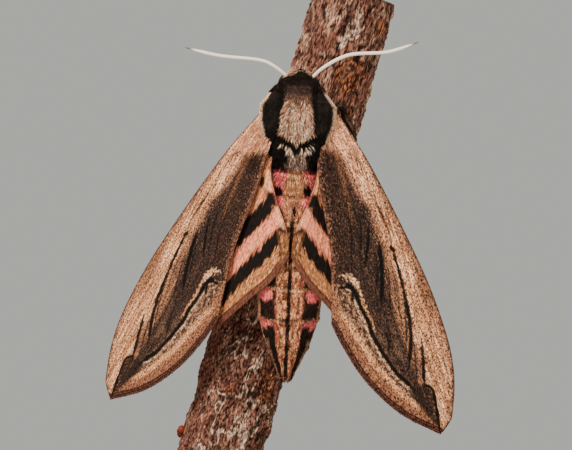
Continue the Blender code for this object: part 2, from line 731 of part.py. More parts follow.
def spike(name, foot, tip, radius):
    """A thin four-sided cone from its foot to its tip."""
    cone = bmesh.new()
    length = (tip - foot).length
    bmesh.ops.create_cone(cone, cap_ends=True, segments=4, radius1=radius, radius2=0.0, depth=length)
    turn = (tip - foot).to_track_quat("Z", "Y").to_matrix().to_4x4()
    cone.transform(Matrix.Translation((foot + tip) / 2) @ turn)
    mesh = bpy.data.meshes.new(name)
    cone.to_mesh(mesh)
    cone.free()
    return place(name, mesh, HORN_BROWN)


def limb(start, end, sections):
    """Points and radii along one straight part of a leg."""
    return [(start + (end - start) * share, radius * MM) for share, radius in sections]


def foot_path(grip):
    """Points and radii of the jointed foot, laid along the bark."""
    knots = [Vector((stem_height(THORAX_PLACE.z + above * MM), math.radians(turn), 0.0)) for above, turn in grip]
    found = []
    for i, at in enumerate(along_spline(knots, FOOT_JOINTS * 2 + 1)):
        radius = FOOT_RADII[(i + 1) % 2]
        found.append((stem_point(at.x, at.y, GAP + FOOT_RADII[0]), radius))
    return found


def make_leg(name, hip, knee, grip):
    """Thigh, shin with its spurs, and a foot of five joints with two claws."""
    hip, knee = (from_body(*(Vector(p) * MM)) for p in (hip, knee))
    foot = foot_path(grip)
    ankle = foot[0][0]
    path = limb(hip, knee, THIGH) + limb(knee, ankle, SHIN) + foot[1:]
    points = [clear_of_stem(point, GAP + radius) for point, radius in path]
    leg = tube(name, points, [radius for _, radius in path], BLACK_FUR, sides=6)
    out = (ankle - STEM_FOOT - STEM_AHEAD * (ankle - STEM_FOOT).dot(STEM_AHEAD)).normalized()
    spikes = []
    for turn in (-1, 1):
        ahead = (points[-1] - points[-2]).normalized()
        away = (points[-1] - STEM_FOOT).normalized()
        axis = (away - STEM_AHEAD * away.dot(STEM_AHEAD)).normalized()
        splayed = Matrix.Rotation(CLAW_SPREAD * turn, 3, axis) @ ahead
        spikes.append(spike("claw", points[-1] - ahead * CLAW_RADIUS, points[-1] + splayed * CLAW_LENGTH, CLAW_RADIUS))
    if not name.startswith("fore"):
        along = (foot[1][0] - ankle).normalized()
        for turn in (-1, 1):
            splayed = Matrix.Rotation(SPUR_SPREAD * turn, 3, out) @ along
            spikes.append(spike("spur", ankle, ankle + (splayed + out * CLAW_HOOK) * SPUR_LENGTH, SPUR_RADIUS))
    return fuse(leg, spikes)


def make_legs(*neighbours):
    """Six legs from the underside of the thorax to their grip on the bark."""
    for name, (hip, knee, grip) in LEGS.items():
        leg = make_leg(name, hip, knee, grip)
        leg.data.transform(BODY.inverted())
        cut_clear(leg, *neighbours)
        leg.data.transform(BODY)
        smooth_faces(leg)


def main():
    """Builds every node. What is made in the moth's frame is set in place at the end."""
    make_stem()
    make_stand()
    thorax = make_thorax()
    body = make_head(thorax)
    abdomen = make_abdomen(thorax)
    flaps = make_tegulae(thorax)
    wings = make_wings(thorax, flaps, abdomen)
    make_legs(thorax, abdomen, body[0])
    for piece in [smooth_faces(thorax), abdomen, *flaps, *wings, *body]:
        piece.data.transform(BODY)


main()
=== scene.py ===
import math

import bmesh
import bpy
import numpy as np
from mathutils import Matrix, Vector, noise


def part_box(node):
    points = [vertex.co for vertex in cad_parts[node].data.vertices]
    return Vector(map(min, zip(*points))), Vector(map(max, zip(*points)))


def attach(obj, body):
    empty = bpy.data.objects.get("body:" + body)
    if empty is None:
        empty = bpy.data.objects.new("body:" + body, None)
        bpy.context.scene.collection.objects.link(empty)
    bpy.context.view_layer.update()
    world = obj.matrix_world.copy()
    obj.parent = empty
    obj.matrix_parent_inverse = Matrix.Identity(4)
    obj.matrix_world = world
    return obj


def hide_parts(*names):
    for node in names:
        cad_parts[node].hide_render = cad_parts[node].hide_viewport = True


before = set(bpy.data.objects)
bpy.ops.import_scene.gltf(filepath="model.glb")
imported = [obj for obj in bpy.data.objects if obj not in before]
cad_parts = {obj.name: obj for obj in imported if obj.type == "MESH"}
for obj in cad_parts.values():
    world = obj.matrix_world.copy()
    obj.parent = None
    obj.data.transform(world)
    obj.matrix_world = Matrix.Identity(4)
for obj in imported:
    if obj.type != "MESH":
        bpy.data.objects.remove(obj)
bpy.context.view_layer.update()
MM = 0.001


# Camera
# The photo's framing: level with the wings, looking straight at the moth's back through a long lens.
# A frame 88.7 mm wide stands 600 mm from the lens, at the depth of the body's front.
SIGHT_DISTANCE = 600 * MM
FRAME_WIDTH = 88.66 * MM
FRAME_DEPTH = -9 * MM
FRAME_MIDDLE = 61 * MM
SENSOR = 36


def placed(name, data):
    """A new object in the scene."""
    made = bpy.data.objects.new(name, data)
    bpy.context.scene.collection.objects.link(made)
    return made


lens = bpy.data.cameras.new("camera")
lens.sensor_width = SENSOR
lens.lens = SENSOR * SIGHT_DISTANCE / FRAME_WIDTH
lens.clip_start = 0.01
camera = placed("camera", lens)
camera.location = (0, FRAME_DEPTH - SIGHT_DISTANCE, FRAME_MIDDLE)
camera.rotation_euler = (math.pi / 2, 0, 0)
bpy.context.scene.camera = camera


# Floor and light
# A pale round floor under the stand and a pale even sky. One broad soft lamp stands at the upper left
# and a weak one at the right.
FLOOR_RADIUS = 330 * MM
FLOOR_GREY = (0.72, 0.72, 0.69)
SKY = (0.8, 0.82, 0.76)
SKY_STRENGTH = 0.6
LAMP_PLACE = (-0.36, -0.62, 0.62)
LAMP_SIZE = 0.3
LAMP_POWER = 13
LAMP_WARMTH = (1, 0.92, 0.8)
FILL_PLACE = (0.55, -0.55, 0.25)
FILL_POWER = 1.6


def plain_material(name, colour, roughness):
    """A Principled material and its shader node."""
    made = bpy.data.materials.new(name)
    made.use_nodes = True
    shader = made.node_tree.nodes["Principled BSDF"]
    shader.inputs["Base Color"].default_value = (*colour, 1)
    shader.inputs["Roughness"].default_value = roughness
    return made, shader


def lamp(name, place, power, size):
    """A square soft lamp that points at the moth."""
    data = bpy.data.lights.new(name, "AREA")
    data.energy, data.size, data.color = power, size, LAMP_WARMTH
    made = placed(name, data)
    made.location = place
    aim = Vector((0, 0, FRAME_MIDDLE)) - Vector(place)
    made.rotation_euler = aim.to_track_quat("-Z", "Y").to_euler()


def mesh_of(name, made):
    """A mesh from a bmesh, which is then freed."""
    mesh = bpy.data.meshes.new(name)
    made.to_mesh(mesh)
    made.free()
    return mesh


disc = bmesh.new()
bmesh.ops.create_circle(disc, cap_ends=True, segments=96, radius=FLOOR_RADIUS)
floor = placed("floor", mesh_of("floor", disc))
floor.data.materials.append(plain_material("floor", FLOOR_GREY, 0.85)[0])
lamp("key_lamp", LAMP_PLACE, LAMP_POWER, LAMP_SIZE)
lamp("fill_lamp", FILL_PLACE, FILL_POWER, LAMP_SIZE)
world = bpy.data.worlds.new("sky")
world.use_nodes = True
world.node_tree.nodes["Background"].inputs["Color"].default_value = (*SKY, 1)
world.node_tree.nodes["Background"].inputs["Strength"].default_value = SKY_STRENGTH
bpy.context.scene.world = world


# Perch
# A cut length of a young living stem: thin red-brown bark with ridges along it, scars, lichen and
# one bud. It is one closed skin over the part's own stem, with its relief in the mesh.
STEM_RADIUS = 6.4 * MM
STEM_LENGTH = 83 * MM
STEM_LEAN = math.radians(16.6)
STEM_FOOT = Vector((-12.6, 6, 18.2)) * MM
STEM_AHEAD = Vector((math.sin(STEM_LEAN), 0, math.cos(STEM_LEAN)))
STEM_FRONT = Vector((0, -1, 0))
STEM_RIGHT = Vector((math.cos(STEM_LEAN), 0, -math.sin(STEM_LEAN)))
BARK_ROWS, BARK_COLUMNS = 322, 300
BARK_SWELL, SWELL_SIZE = 0.45 * MM, 9 * MM
BARK_RIDGE, RIDGE_SIZE, RIDGES = 0.32 * MM, 4 * MM, 2.2
KNOT_AT, KNOT_TURN, KNOT_HEIGHT, KNOT_SIZE = 31.6 * MM, math.radians(-74), 0.55 * MM, 2.4 * MM
FIBRE_RELIEF = 0.21 * MM  # fine cracked fibres that run with the stem
BARK_DARK = (30, 20, 18)
BARK_BROWN = (112, 77, 67)
BARK_RED = (122, 60, 50)
BARK_GREY = (180, 144, 128)
BARK_ORANGE = (160, 108, 84)
BARK_PALE = (188, 150, 134)
SCAR_BROWN = (60, 34, 27)
# Black of the cracks and scar rims, also used as painted shadow beside the pale threads
CRACK_AND_SHADOW_BLACK = (30, 19, 17)
LICHEN = (206, 182, 164)
PIGMENT_DEPTH = 1.06
PIGMENT_STRENGTH = 1.2
CUT_WOOD = (196, 164, 120)
CUT_RINGS = (0.75, 0.35)  # rings of points on each cut, as shares of the stem's radius
# Scars where the thin bark has come off: height along the stem and turn from the front, then the
# half sizes, in millimetres and degrees
SCARS = [(70, 31, 2.9, 25), (78.5, 57, 1.9, 12), (19.3, 42, 2.9, 15), (26.5, 52, 1.6, 12),
         (64, 44, 1.5, 12), (45, 170, 4, 20), (18, 200, 3, 16), (66, 230, 3, 14)]
LICHENS = [(77, 11, 1.8, 9), (74.6, 3, 1, 7), (79.3, 14, 0.9, 6), (13, 21, 3.6, 14),
           (22.5, 14, 1.8, 7), (7.5, 30, 2, 12), (55, 150, 3, 14), (30, 230, 3, 20)]


def ink(colour):
    """A colour given as 0 to 255 screen values, as the stronger linear pigment that shows as it under
    the studio light."""
    share = np.asarray(colour, float) / 255
    linear = np.where(share <= 0.04045, share / 12.92, ((share + 0.055) / 1.055) ** 2.4) ** PIGMENT_DEPTH
    return np.clip(linear.mean() + (linear - linear.mean()) * PIGMENT_STRENGTH, 0, 1)


def ramp(value, start, end):
    """0 below start, 1 above end and smooth between, for arrays."""
    share = np.clip((value - start) / (end - start), 0, 1)
    return share * share * (3 - 2 * share)


def span(value, start, full, fade, end):
    """1 from full to fade, 0 outside start and end and smooth between, for arrays."""
    return ramp(value, start, full) * ramp(value, end, fade)


def near(value, middle, far, close):
    """1 where a value is close to the middle one, 0 where it is far from it, for arrays."""
    return ramp(np.abs(value - middle), far, close)


def washed(ground, *washes):
    """One colour, or one for each place, under washes of (colour, share at each place)."""
    found = ink(ground) if isinstance(ground, tuple) else ground
    for tone, share in washes:
        tone = ink(tone) if isinstance(tone, tuple) else tone
        found = found + (tone - found) * np.asarray(share)[:, None]
    return found


def grain(points, size, seed=0):
    """Smooth noise from -1 to 1 at each point. Size may hold one value for each axis."""
    scaled = np.asarray(points) / np.asarray(size) + seed
    return np.array([noise.noise(p) for p in scaled.tolist()])


def rough_grain(points, size, seed, layers):
    """Noise with finer noise on top of it."""
    total = sum(grain(points, np.asarray(size) / 2**i, seed + 7.3 * i) / 2**i for i in range(layers))
    return total / 1.4


def shaped(name, points, faces, material):
    """A smooth mesh object from an array of points and a list of arrays of faces, faces outward."""
    mesh = bpy.data.meshes.new(name)
    mesh.vertices.add(len(points))
    mesh.vertices.foreach_set("co", np.asarray(points, np.float32).ravel())
    corners = np.concatenate([g.ravel() for g in faces]).astype(np.int32)
    totals = np.concatenate([np.full(len(g), g.shape[1], np.int32) for g in faces])
    mesh.loops.add(len(corners))
    mesh.loops.foreach_set("vertex_index", corners)
    mesh.polygons.add(len(totals))
    mesh.polygons.foreach_set("loop_start", np.concatenate([[0], np.cumsum(totals)[:-1]]).astype(np.int32))
    mesh.update(calc_edges=True)
    mesh.validate()
    outward = bmesh.new()
    outward.from_mesh(mesh)
    bmesh.ops.recalc_face_normals(outward, faces=outward.faces)
    outward.to_mesh(mesh)
    outward.free()
    mesh.shade_smooth()
    mesh.materials.append(material)
    return placed(name, mesh)


def paint(obj, colours, specks=0):
    """Stores a linear colour for each vertex, and in its last channel how many warm specks lie on it."""
    values = np.ones((len(obj.data.vertices), 4), np.float32)
    values[:, :3] = np.clip(colours, 0, 1)
    values[:, 3] = specks
    layer = obj.data.attributes.new("tint", "FLOAT_COLOR", "POINT")
    layer.data.foreach_set("color", values.ravel())


def lay_out(obj, places):
    """Stores a place for each vertex, for a pattern that follows the surface."""
    layer = obj.data.attributes.new("flat", "FLOAT_VECTOR", "POINT")
    layer.data.foreach_set("vector", np.asarray(places, np.float32).ravel())


def wrapped_grid(rows, columns):
    """Four-cornered faces of a grid whose columns close into a ring."""
    row, column = np.meshgrid(np.arange(rows - 1) * columns, np.arange(columns), indexing="ij")
    here, after = row + column, row + (column + 1) % columns
    return np.stack([here, after, after + columns, here + columns], -1).reshape(-1, 4)


def wire(made, values):
    """Sets a node's inputs to values, or links them to other nodes' outputs."""
    for key, value in values.items():
        socket = made.inputs[key]
        if isinstance(value, bpy.types.NodeSocket):
            made.id_data.links.new(value, socket)
        else:
            socket.default_value = value


def node(tree, kind, values=(), **settings):
    """A new node's first output, with its settings made before its inputs."""
    made = tree.nodes.new(kind)
    for key, value in settings.items():
        setattr(made, key, value)
    wire(made, dict(values))
    return made.outputs[0]


def on_object(tree):
    """The output that gives a place on the object itself."""
    return node(tree, "ShaderNodeTexCoord").node.outputs["Object"]


def speckled_material(name, spread, depth, seed, roughness=0.85, relief=0.25, coordinates="flat",
                      relief_size=0.06 * MM, speck=None, detail=2):
    """The painted tint, broken up by fine grains that are longer one way than another. Spread is the
    size of a grain along each axis, depth how much it lightens and darkens, speck the warm specks' colour."""
    made, shader = plain_material(name, (0.5, 0.5, 0.5), roughness)
    tree = made.node_tree
    tint = node(tree, "ShaderNodeAttribute", attribute_name="tint")
    place = on_object(tree)
    if coordinates == "flat":
        place = node(tree, "ShaderNodeAttribute", attribute_name="flat").node.outputs["Vector"]
    fit = node(tree, "ShaderNodeMapping", {"Vector": place, "Scale": [1 / s for s in spread],
                                           "Location": (seed, seed * 1.7, seed * 0.6)})
    grains = node(tree, "ShaderNodeTexNoise", {"Vector": fit, "Scale": 1, "Detail": detail, "Roughness": 0.6})
    light = node(tree, "ShaderNodeMapRange", {"Value": grains, "From Min": 0.39, "From Max": 0.61,
                                              "To Min": 1 - depth, "To Max": 1 + depth})
    source = tint
    if speck:
        shifted = node(tree, "ShaderNodeVectorMath", {0: fit, 1: (31, 17, 5)})
        wider = node(tree, "ShaderNodeTexNoise", {"Vector": shifted, "Scale": 1.1, "Detail": 1})
        shown = node(tree, "ShaderNodeMapRange", {"Value": wider, "From Min": 0.53, "From Max": 0.63})
        share = node(tree, "ShaderNodeMath", {0: shown, 1: tint.node.outputs["Alpha"]}, operation="MULTIPLY")
        warm = node(tree, "ShaderNodeMix", data_type="RGBA").node
        sockets = {s.identifier: s for s in [*warm.inputs, *warm.outputs]}
        sockets["B_Color"].default_value = (*ink(speck), 1)
        tree.links.new(share, sockets["Factor_Float"])
        tree.links.new(tint, sockets["A_Color"])
        source = sockets["Result_Color"]
    shade = node(tree, "ShaderNodeVectorMath", {0: source, "Scale": light}, operation="SCALE")
    bump = node(tree, "ShaderNodeBump", {"Strength": relief, "Distance": relief_size, "Height": grains})
    wire(shader, {"Base Color": shade, "Normal": bump, "Specular IOR Level": 0.12})
    return made


def stem_points(heights, turns, clear=0):
    """World points on the bark, with the broad relief that the part's own stem has."""
    around = np.stack([np.sin(turns), np.cos(turns), np.zeros_like(turns)], -1)
    up = np.zeros_like(around)
    up[:, 2] = heights
    swell = grain(around + up / SWELL_SIZE, 1)
    ridge = grain(around * RIDGES + up / RIDGE_SIZE + np.array([5, 0, 0]), 1)
    turned = np.arctan2(np.sin(turns - KNOT_TURN), np.cos(turns - KNOT_TURN))
    off = np.hypot(heights - KNOT_AT, STEM_RADIUS * turned)
    knot = KNOT_HEIGHT * np.exp(-((off / KNOT_SIZE) ** 2))
    radius = STEM_RADIUS + BARK_SWELL * swell + BARK_RIDGE * ridge + knot + clear
    outward = np.outer(np.cos(turns), STEM_FRONT) + np.outer(np.sin(turns), STEM_RIGHT)
    return np.array(STEM_FOOT) + np.outer(heights, STEM_AHEAD) + outward * radius[:, None]


def patches(heights, turns, spots, edge):
    """How far each place is inside any of the ragged spots, from 0 to 1."""
    inside = np.zeros(len(heights))
    for height, turn, tall, wide in spots:
        turned = turns - math.radians(turn)
        turned = np.degrees(np.arctan2(np.sin(turned), np.cos(turned)))
        reach = np.hypot((heights / MM - height) / tall, turned / wide) + edge
        inside = np.maximum(inside, ramp(reach, 1.1, 0.85))
    return inside


def make_bark():
    """The stem's skin with cracked fibres, scars and lichen, and its two cut ends."""
    rows, columns = np.linspace(0, STEM_LENGTH, BARK_ROWS), np.arange(BARK_COLUMNS) / BARK_COLUMNS * math.tau
    height, turn = (a.ravel() for a in np.meshgrid(rows, columns, indexing="ij"))
    flat = np.stack([STEM_RADIUS * np.cos(turn), STEM_RADIUS * np.sin(turn), height], -1)
    warp = flat + np.outer(grain(flat, 3 * MM, 1), (0.5 * MM, 0.5 * MM, 0))

    def rough(places, wide, tall, seed, layers=4):
        """Rough noise of a size round the stem and along it, in millimetres."""
        return rough_grain(places, (wide * MM, wide * MM, tall * MM), seed, layers)

    ragged = rough(flat, 1.8, 2.6, 3) * 0.5
    scar = patches(height, turn, SCARS, ragged)
    crust = patches(height, turn, LICHENS, ragged * 1.8) * ramp(rough(flat, 0.7, 0.7, 9), -0.25, 0.25)
    fibre = 1 - np.abs(rough(warp, 0.55, 2.6, 5)) * 2.4
    broken = ramp(grain(flat, (2.5 * MM, 2.5 * MM, 3 * MM), 17), -0.15, 0.3)
    crack = near(grain(warp, (0.9 * MM, 0.9 * MM, 3.4 * MM), 12), 0, 0.13, 0.02) * broken
    flake, plate, tone = rough(flat, 0.75, 1, 15), rough(warp, 1.6, 2.2, 41), rough(flat, 2, 4, 20)
    low_front = ramp(height / MM, 42, 30) * ramp(np.cos(turn - math.radians(18)), 0.25, 0.7)
    net = np.abs(rough(warp, 2.4, 6.5, 33, 3))
    threads = ramp(net, 0.055, 0.02) * np.maximum(low_front * ramp(tone, -0.45, 0), 0.3 * ramp(plate, 0, 0.4))
    # Painted shadow: a dark rim beside the pale threads, low on the front of the stem
    thread_shadow = ramp(net, 0.14, 0.08) * (1 - threads) * low_front
    plated = ramp(plate + 0.5 * flake, 0.15, 0.3)
    relief = FIBRE_RELIEF * (fibre * 0.6 + flake * 0.9 + plate * 0.7 - 1.4 * crack) * (1 - 0.4 * scar)
    relief = relief + (0.12 * crust + 0.16 * threads + 0.13 * plated - 0.2 * scar) * MM
    points = stem_points(height, turn, relief * ramp(np.minimum(height, STEM_LENGTH - height), 0, 1 * MM))
    colour = washed(
        BARK_BROWN,
        (BARK_GREY, ramp(tone, -0.15, 0.5) * (0.42 + 0.48 * ramp(height / MM, 50, 66))),
        (BARK_RED, ramp(flake, 0.12, 0.5) * ramp(plate, -0.2, 0.3) * 0.5),
        (BARK_DARK, near(plated, 0.5, 0.45, 0.2) * 0.5),
        (BARK_DARK, ramp(fibre, 0.6, -0.25) * 0.7),
        (BARK_DARK, ramp(flake, 0.02, -0.4) * 0.8),
        (BARK_PALE, ramp(rough(warp, 0.35, 1.6, 47, 2), 0.25, 0.5) * 0.5),
        (SCAR_BROWN, scar * 0.85),
        (BARK_ORANGE, scar * ramp(rough(flat, 0.4, 0.6, 52, 2) + 0.5 * flake, -0.15, 0.3) * 0.8),
        # Dark cracks and scar rims, and painted shadow beside the pale threads
        (CRACK_AND_SHADOW_BLACK, np.max([crack * 0.95, near(scar, 0.5, 0.42, 0.1) * 0.6, thread_shadow * 0.6], axis=0)),
        (LICHEN, np.maximum(crust * 0.75, threads * (0.5 + 0.3 * ramp(flake, -0.2, 0.2)))))
    quads, fans, caps, first = [wrapped_grid(BARK_ROWS, BARK_COLUMNS)], [], [], len(points)
    for row, at in ((0, 0), (BARK_ROWS - 1, STEM_LENGTH)):
        last = np.arange(BARK_COLUMNS) + row * BARK_COLUMNS
        middle, edge = np.array(STEM_FOOT + STEM_AHEAD * at), points[last]
        for share in CUT_RINGS:
            caps.append(middle + (edge - middle) * share)
            new = first + np.arange(BARK_COLUMNS)
            quads.append(np.stack([last, np.roll(last, -1), np.roll(new, -1), new], -1))
            last, first = new, first + BARK_COLUMNS
        caps.append(middle[None])
        fans.append(np.stack([last, np.roll(last, -1), np.full(BARK_COLUMNS, first)], -1))
        first += 1
    caps = np.concatenate(caps)
    stem = shaped("bark", np.concatenate([points, caps]), [*quads, *fans], speckled_material(
        "bark", (0.21 * MM, 0.21 * MM, 0.9 * MM), 0.95, 2, 0.9, 1, "flat", 0.18 * MM, detail=5))
    paint(stem, np.concatenate([colour, np.tile(ink(CUT_WOOD), (len(caps), 1))]))
    # The fibres are shorter low down, where the bark is older
    flat[:, 2] = np.interp(height / MM, [0, 45, 58, 83], [0, 76.5, 94, 119]) * MM
    lay_out(stem, np.concatenate([flat, caps]))
    return stem


bark = make_bark()
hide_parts("perch")
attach(bark, "root")

BUD_AT, BUD_TURN, BUD_RADIUS = 8.4 * MM, math.radians(-86), 0.8 * MM
BUD_RED, BUD_DARK = (128, 66, 50), (80, 34, 26)
bud_shell = bmesh.new()
bmesh.ops.create_icosphere(bud_shell, subdivisions=4, radius=1)
bud_place = stem_points(np.array([BUD_AT]), np.array([BUD_TURN]), BUD_RADIUS * 0.35)[0]
for vertex in bud_shell.verts:
    x, y, z = vertex.co
    scale_ridge = 1 + 0.06 * math.sin(z * 9 + 2 * math.sin(3 * math.atan2(y, x)))
    vertex.co = Vector((x, y, z * 1.3)) * BUD_RADIUS * scale_ridge + Vector(bud_place)
bud = placed("bud", mesh_of("bud", bud_shell))
bud.data.shade_smooth()
bud_height = np.array([v.co.z for v in bud.data.vertices])
paint(bud, washed(BUD_RED, (BUD_DARK, ramp(bud_height, bud_place[2] + BUD_RADIUS, bud_place[2]))))
bud.data.materials.append(speckled_material("bud", (0.2 * MM,) * 3, 0.3, 1, 0.55, 0.3, "object"))
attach(bud, "root")


# Wings
# Thin membranes stiffened by veins and covered with dust-fine scales. Each is one closed plate that
# follows the part's own arched surface. Its markings are lines and bands drawn on the flat wing, in
# millimetres from the hinge: u to the apex, v to the front edge.
BODY_LEAN = math.radians(2.5)
THORAX_PLACE = Vector((1.72, -7.5, 76.5)) * MM
BODY = np.array(Matrix.Translation(THORAX_PLACE) @ Matrix.Rotation(BODY_LEAN, 4, "Y"))
SIDES = {"left": -1, "right": 1}
FORE_COSTA = [(-3, 0), (0.3, 0.6), (8.8, 2.8), (22.4, 5), (32.5, 6), (41.9, 5.7), (49.1, 3.4), (52.5, 0.2)]
FORE_TERMEN = [(52.5, 0.2), (47.2, -5), (40.7, -8.6), (34.6, -10.3), (30.7, -10.9)]
FORE_INNER = [(30.7, -10.9), (26.6, -9.5), (19.8, -7.4), (9.9, -5.9), (4, -4.5), (-3, -3.6)]
FORE_LINE = [(25.4, -6.6), (26.7, -5.8), (29, -5.7), (31.6, -5.3), (34.2, -5.25), (36, -4.9), (37.5, -4.6),
             (39.5, -4), (41.1, -3.5), (42.7, -2.6), (44.6, -1.6)]
FORE_CREAM_LINE = [(25.4, -5.4), (27.2, -5), (29.2, -5.1), (31.6, -4.8), (34, -4.75)]
FORE_TUFT = [(24, -7), (24.6, -5.9), (25.6, -5.3), (27.4, -5.1)]
FORE_VEINS = [
    [(2.5, 0.1), (13, 2), (28, 4.3)],
    [(2.5, -0.9), (13, 0.5), (22.5, 1.9)],
    [(14, 0.7), (24, 3), (34.5, 4.8)],
    [(22.5, 1.9), (31, 3.3), (41, 4.4)],
    [(22.5, 1.9), (35, 2.2), (49.3, 0.5)],
    [(23, 1.2), (35, 0), (47, -3.6)],
    [(22.8, 0.2), (34, -1.9), (43.6, -5.9)],
    [(22, -1.1), (32, -3.8), (39.8, -7.9)],
    [(17, -2.2), (27, -5), (35.6, -9.4)],
    [(2.5, -2.3), (10, -2.2), (17, -2.2), (22, -1.1), (22.5, 1.9)],
    [(3.5, -3.3), (13, -4.9), (22, -6.6), (29.5, -9.9)],
]
HIND_COSTA = [(-2, 0.9), (2, 1.4), (10, 2.8), (20, 3.2), (26.5, 1.8), (29.7, -0.9)]
HIND_TERMEN = [(29.7, -0.9), (26.8, -2.5), (22.5, -5.1), (18.5, -7.6), (14.1, -9)]
HIND_INNER = [(14.1, -9), (10.7, -7.4), (6.4, -3.7), (2.3, -1.2), (-2, -1.6)]
HIND_VEINS = [
    [(1.5, 0.4), (12, 1.9), (26.4, 0.3)],
    [(10, 1), (17, -0.4), (25.6, -2.4)],
    [(1.5, -0.3), (10, -1.2), (21.8, -4.8)],
    [(8, -1.1), (13, -3.4), (18, -7)],
    [(2.5, -0.8), (8, -3.6), (13.6, -8.1)],
]
WING_HOLD = {
    "forewing_left": dict(hinge=(5.8, -1.3, 1.05), sweep=25.5, roof=34.2, pitch=15.7),
    "forewing_right": dict(hinge=(5.75, -1.3, 1.9), sweep=20.7, roof=12.2, pitch=2.4),
    "hindwing_left": dict(hinge=(4.15, -0.6, -4.25), sweep=16.5, roof=24.4, pitch=6.7),
    "hindwing_right": dict(hinge=(3.85, -0.6, -4.4), sweep=15.2, roof=27.6, pitch=4.9),
}
ARCH, ARCH_MIDDLE, ARCH_REACH = 1.3 * MM, (26, -2.5), (34, 11)
WING_LAYER = 1.4 * MM
COVER_TOP, COVER_BEND, COVER_FRONT, COVER_FALL = -5.1 * MM, 0.09 / MM, -8 * MM, 0.6
BLEND = 0.8 * MM
MEMBRANE = 0.15 * MM  # half its thickness
WING_WAVE = 0.1 * MM
VEIN_HEIGHT, VEIN_WIDTH = 0.1 * MM, 0.3  # the width in millimetres on the drawing
TIP_AT, TIP_REACH = 51, 1.1  # where the forewing's front edge is rounded out near its apex
APEX_CROWDING = 1.12  # above 1, the points lie closer together towards the apex

COSTAL_TAN = (188, 140, 112)
COSTAL_PALE = (234, 192, 166)
WING_BROWN = (108, 80, 68)
VEIN_BROWN = (108, 74, 60)
WING_DARK = (33, 26, 24)
WING_INNER = (42, 30, 26)
FORE_SPECK = (148, 112, 96)
HIND_SPECK = (236, 190, 150)
RUST = (132, 92, 74)
CREAM = (214, 164, 130)
BORDER = (80, 52, 44)
LINE_BLACK = (10, 8, 7)
WHITE_SCALES = (228, 190, 162)
HIND_PINK = (216, 140, 118)
HIND_BASE = (196, 134, 106)
HIND_BLACK = (24, 18, 16)
HIND_TAN = (152, 102, 76)
HIND_CREAM = (238, 182, 150)
UNDER_PINK = (200, 160, 144)
# The forewing's black streaks: the line, its width, how much of each end tapers, and how dark it is
BLACK_STREAKS = [
    ([(13.5, 1.5), (19.5, 2.3), (22.7, 1.95)], 0.26, 0.3, 0.8),
    ([(22.5, 2), (28.6, 1.7), (30.8, 1.4)], 0.4, 0.15, 1),
    ([(29.6, 1.8), (36, 0.6), (40.8, -1.3)], 0.62, 0.2, 1),
    ([(24, 1.2), (29, 0.7), (35, -0.5)], 0.18, 0.3, 0.6),
    ([(21, 0.3), (24.3, -0.4), (27.5, -1.4), (30.4, -2.5)], 0.58, 0.2, 1),
    ([(22.5, -0.7), (25.5, -1.5), (28.5, -2.9)], 0.2, 0.3, 0.7),
    ([(30.6, 1.25), (34, 0.5), (38.6, -1.1)], 0.24, 0.3, 0.9),
    ([(24.8, 0.4), (28, -0.3), (32.5, -1.7)], 0.2, 0.3, 0.8),
    ([(15, -1.2), (19, -2), (23, -3.6)], 0.2, 0.3, 0.8),
    ([(33, -2.4), (36, -3.1), (38.5, -4)], 0.24, 0.3, 0.6),
    ([(18.2, -0.5), (21, -1.6), (24, -3.1)], 0.38, 0.3, 1),
    ([(12, -2.4), (18, -3.4), (24, -5.3)], 0.22, 0.3, 0.7),
    ([(37.4, 1.9), (41, 1), (44.6, 0)], 0.48, 0.25, 1),
    ([(37.6, 0.6), (41, -0.2), (43.5, -0.9)], 0.22, 0.3, 0.8),
    ([(44.2, 0.3), (46, 1.1), (51.9, 0.2)], 0.42, 0.15, 1),
]


def curve_through(knots, per=12):
    """Points on a smooth curve through flat knots."""
    knots = np.array(knots, float)
    ends = np.vstack([knots[0] * 2 - knots[1], knots, knots[-1] * 2 - knots[-2]])
    t = (np.arange(per) / per)[:, None]
    found = []
    for a, b, c, d in zip(ends, ends[1:], ends[2:], ends[3:]):
        square, cube = 2 * a - 5 * b + 4 * c - d, 3 * b - a - 3 * c + d
        found.append(0.5 * (2 * b + (c - a) * t + square * t**2 + cube * t**3))
    return np.vstack([*found, knots[-1]])


def off_line(points, knots, per=12):
    """The distance from each flat point to a smooth line, and how far along the line it is."""
    line = curve_through(knots, per)
    best, at = np.full(len(points), np.inf), np.zeros(len(points))
    for i, (a, b) in enumerate(zip(line, line[1:])):
        ab = b - a
        t = np.clip((points - a) @ ab / (ab @ ab), 0, 1)
        gap = np.hypot(*(points - a - t[:, None] * ab).T)
        nearer = gap < best
        best, at = np.where(nearer, gap, best), np.where(nearer, (i + t) / (len(line) - 1), at)
    return best, at


def stroke(points, knots, width, feather, taper=0.25, waver=0):
    """How much of a drawn stroke covers each flat point. The stroke thins towards its ends."""
    gap, at = off_line(points, knots)
    if np.any(waver):
        gap = np.maximum(gap + waver, 0)
    half = width / 2 * span(at, -0.05, taper, 1 - taper, 1.05)
    return ramp(gap, half + feather, half - feather * 0.3)


def blot(x, y, middle, reach, ragged, edge=1.1, core=0.3):
    """How much of an oval blot with a ragged edge covers each place."""
    return ramp(np.hypot((x - middle[0]) / reach[0], (y - middle[1]) / reach[1]) + ragged, edge, core)


def wing_axes(side, hinge, sweep, roof, pitch):
    """A wing's hinge, and its axes to the apex, to the front edge and out of its face."""
    sweep, roof, pitch = (math.radians(a) for a in (sweep, roof, pitch))
    along = Vector((side * math.sin(sweep) * math.cos(pitch), math.sin(pitch),
                    -math.cos(sweep) * math.cos(pitch)))
    flat_front = Vector((side * math.cos(sweep), 0, math.sin(sweep)))
    flat_up = along.cross(flat_front) * side
    front = flat_front * math.cos(roof) - flat_up * math.sin(roof)
    up = flat_up * math.cos(roof) + flat_front * math.sin(roof)
    return Vector((side * hinge[0], hinge[1], hinge[2])) * MM, along, front, up


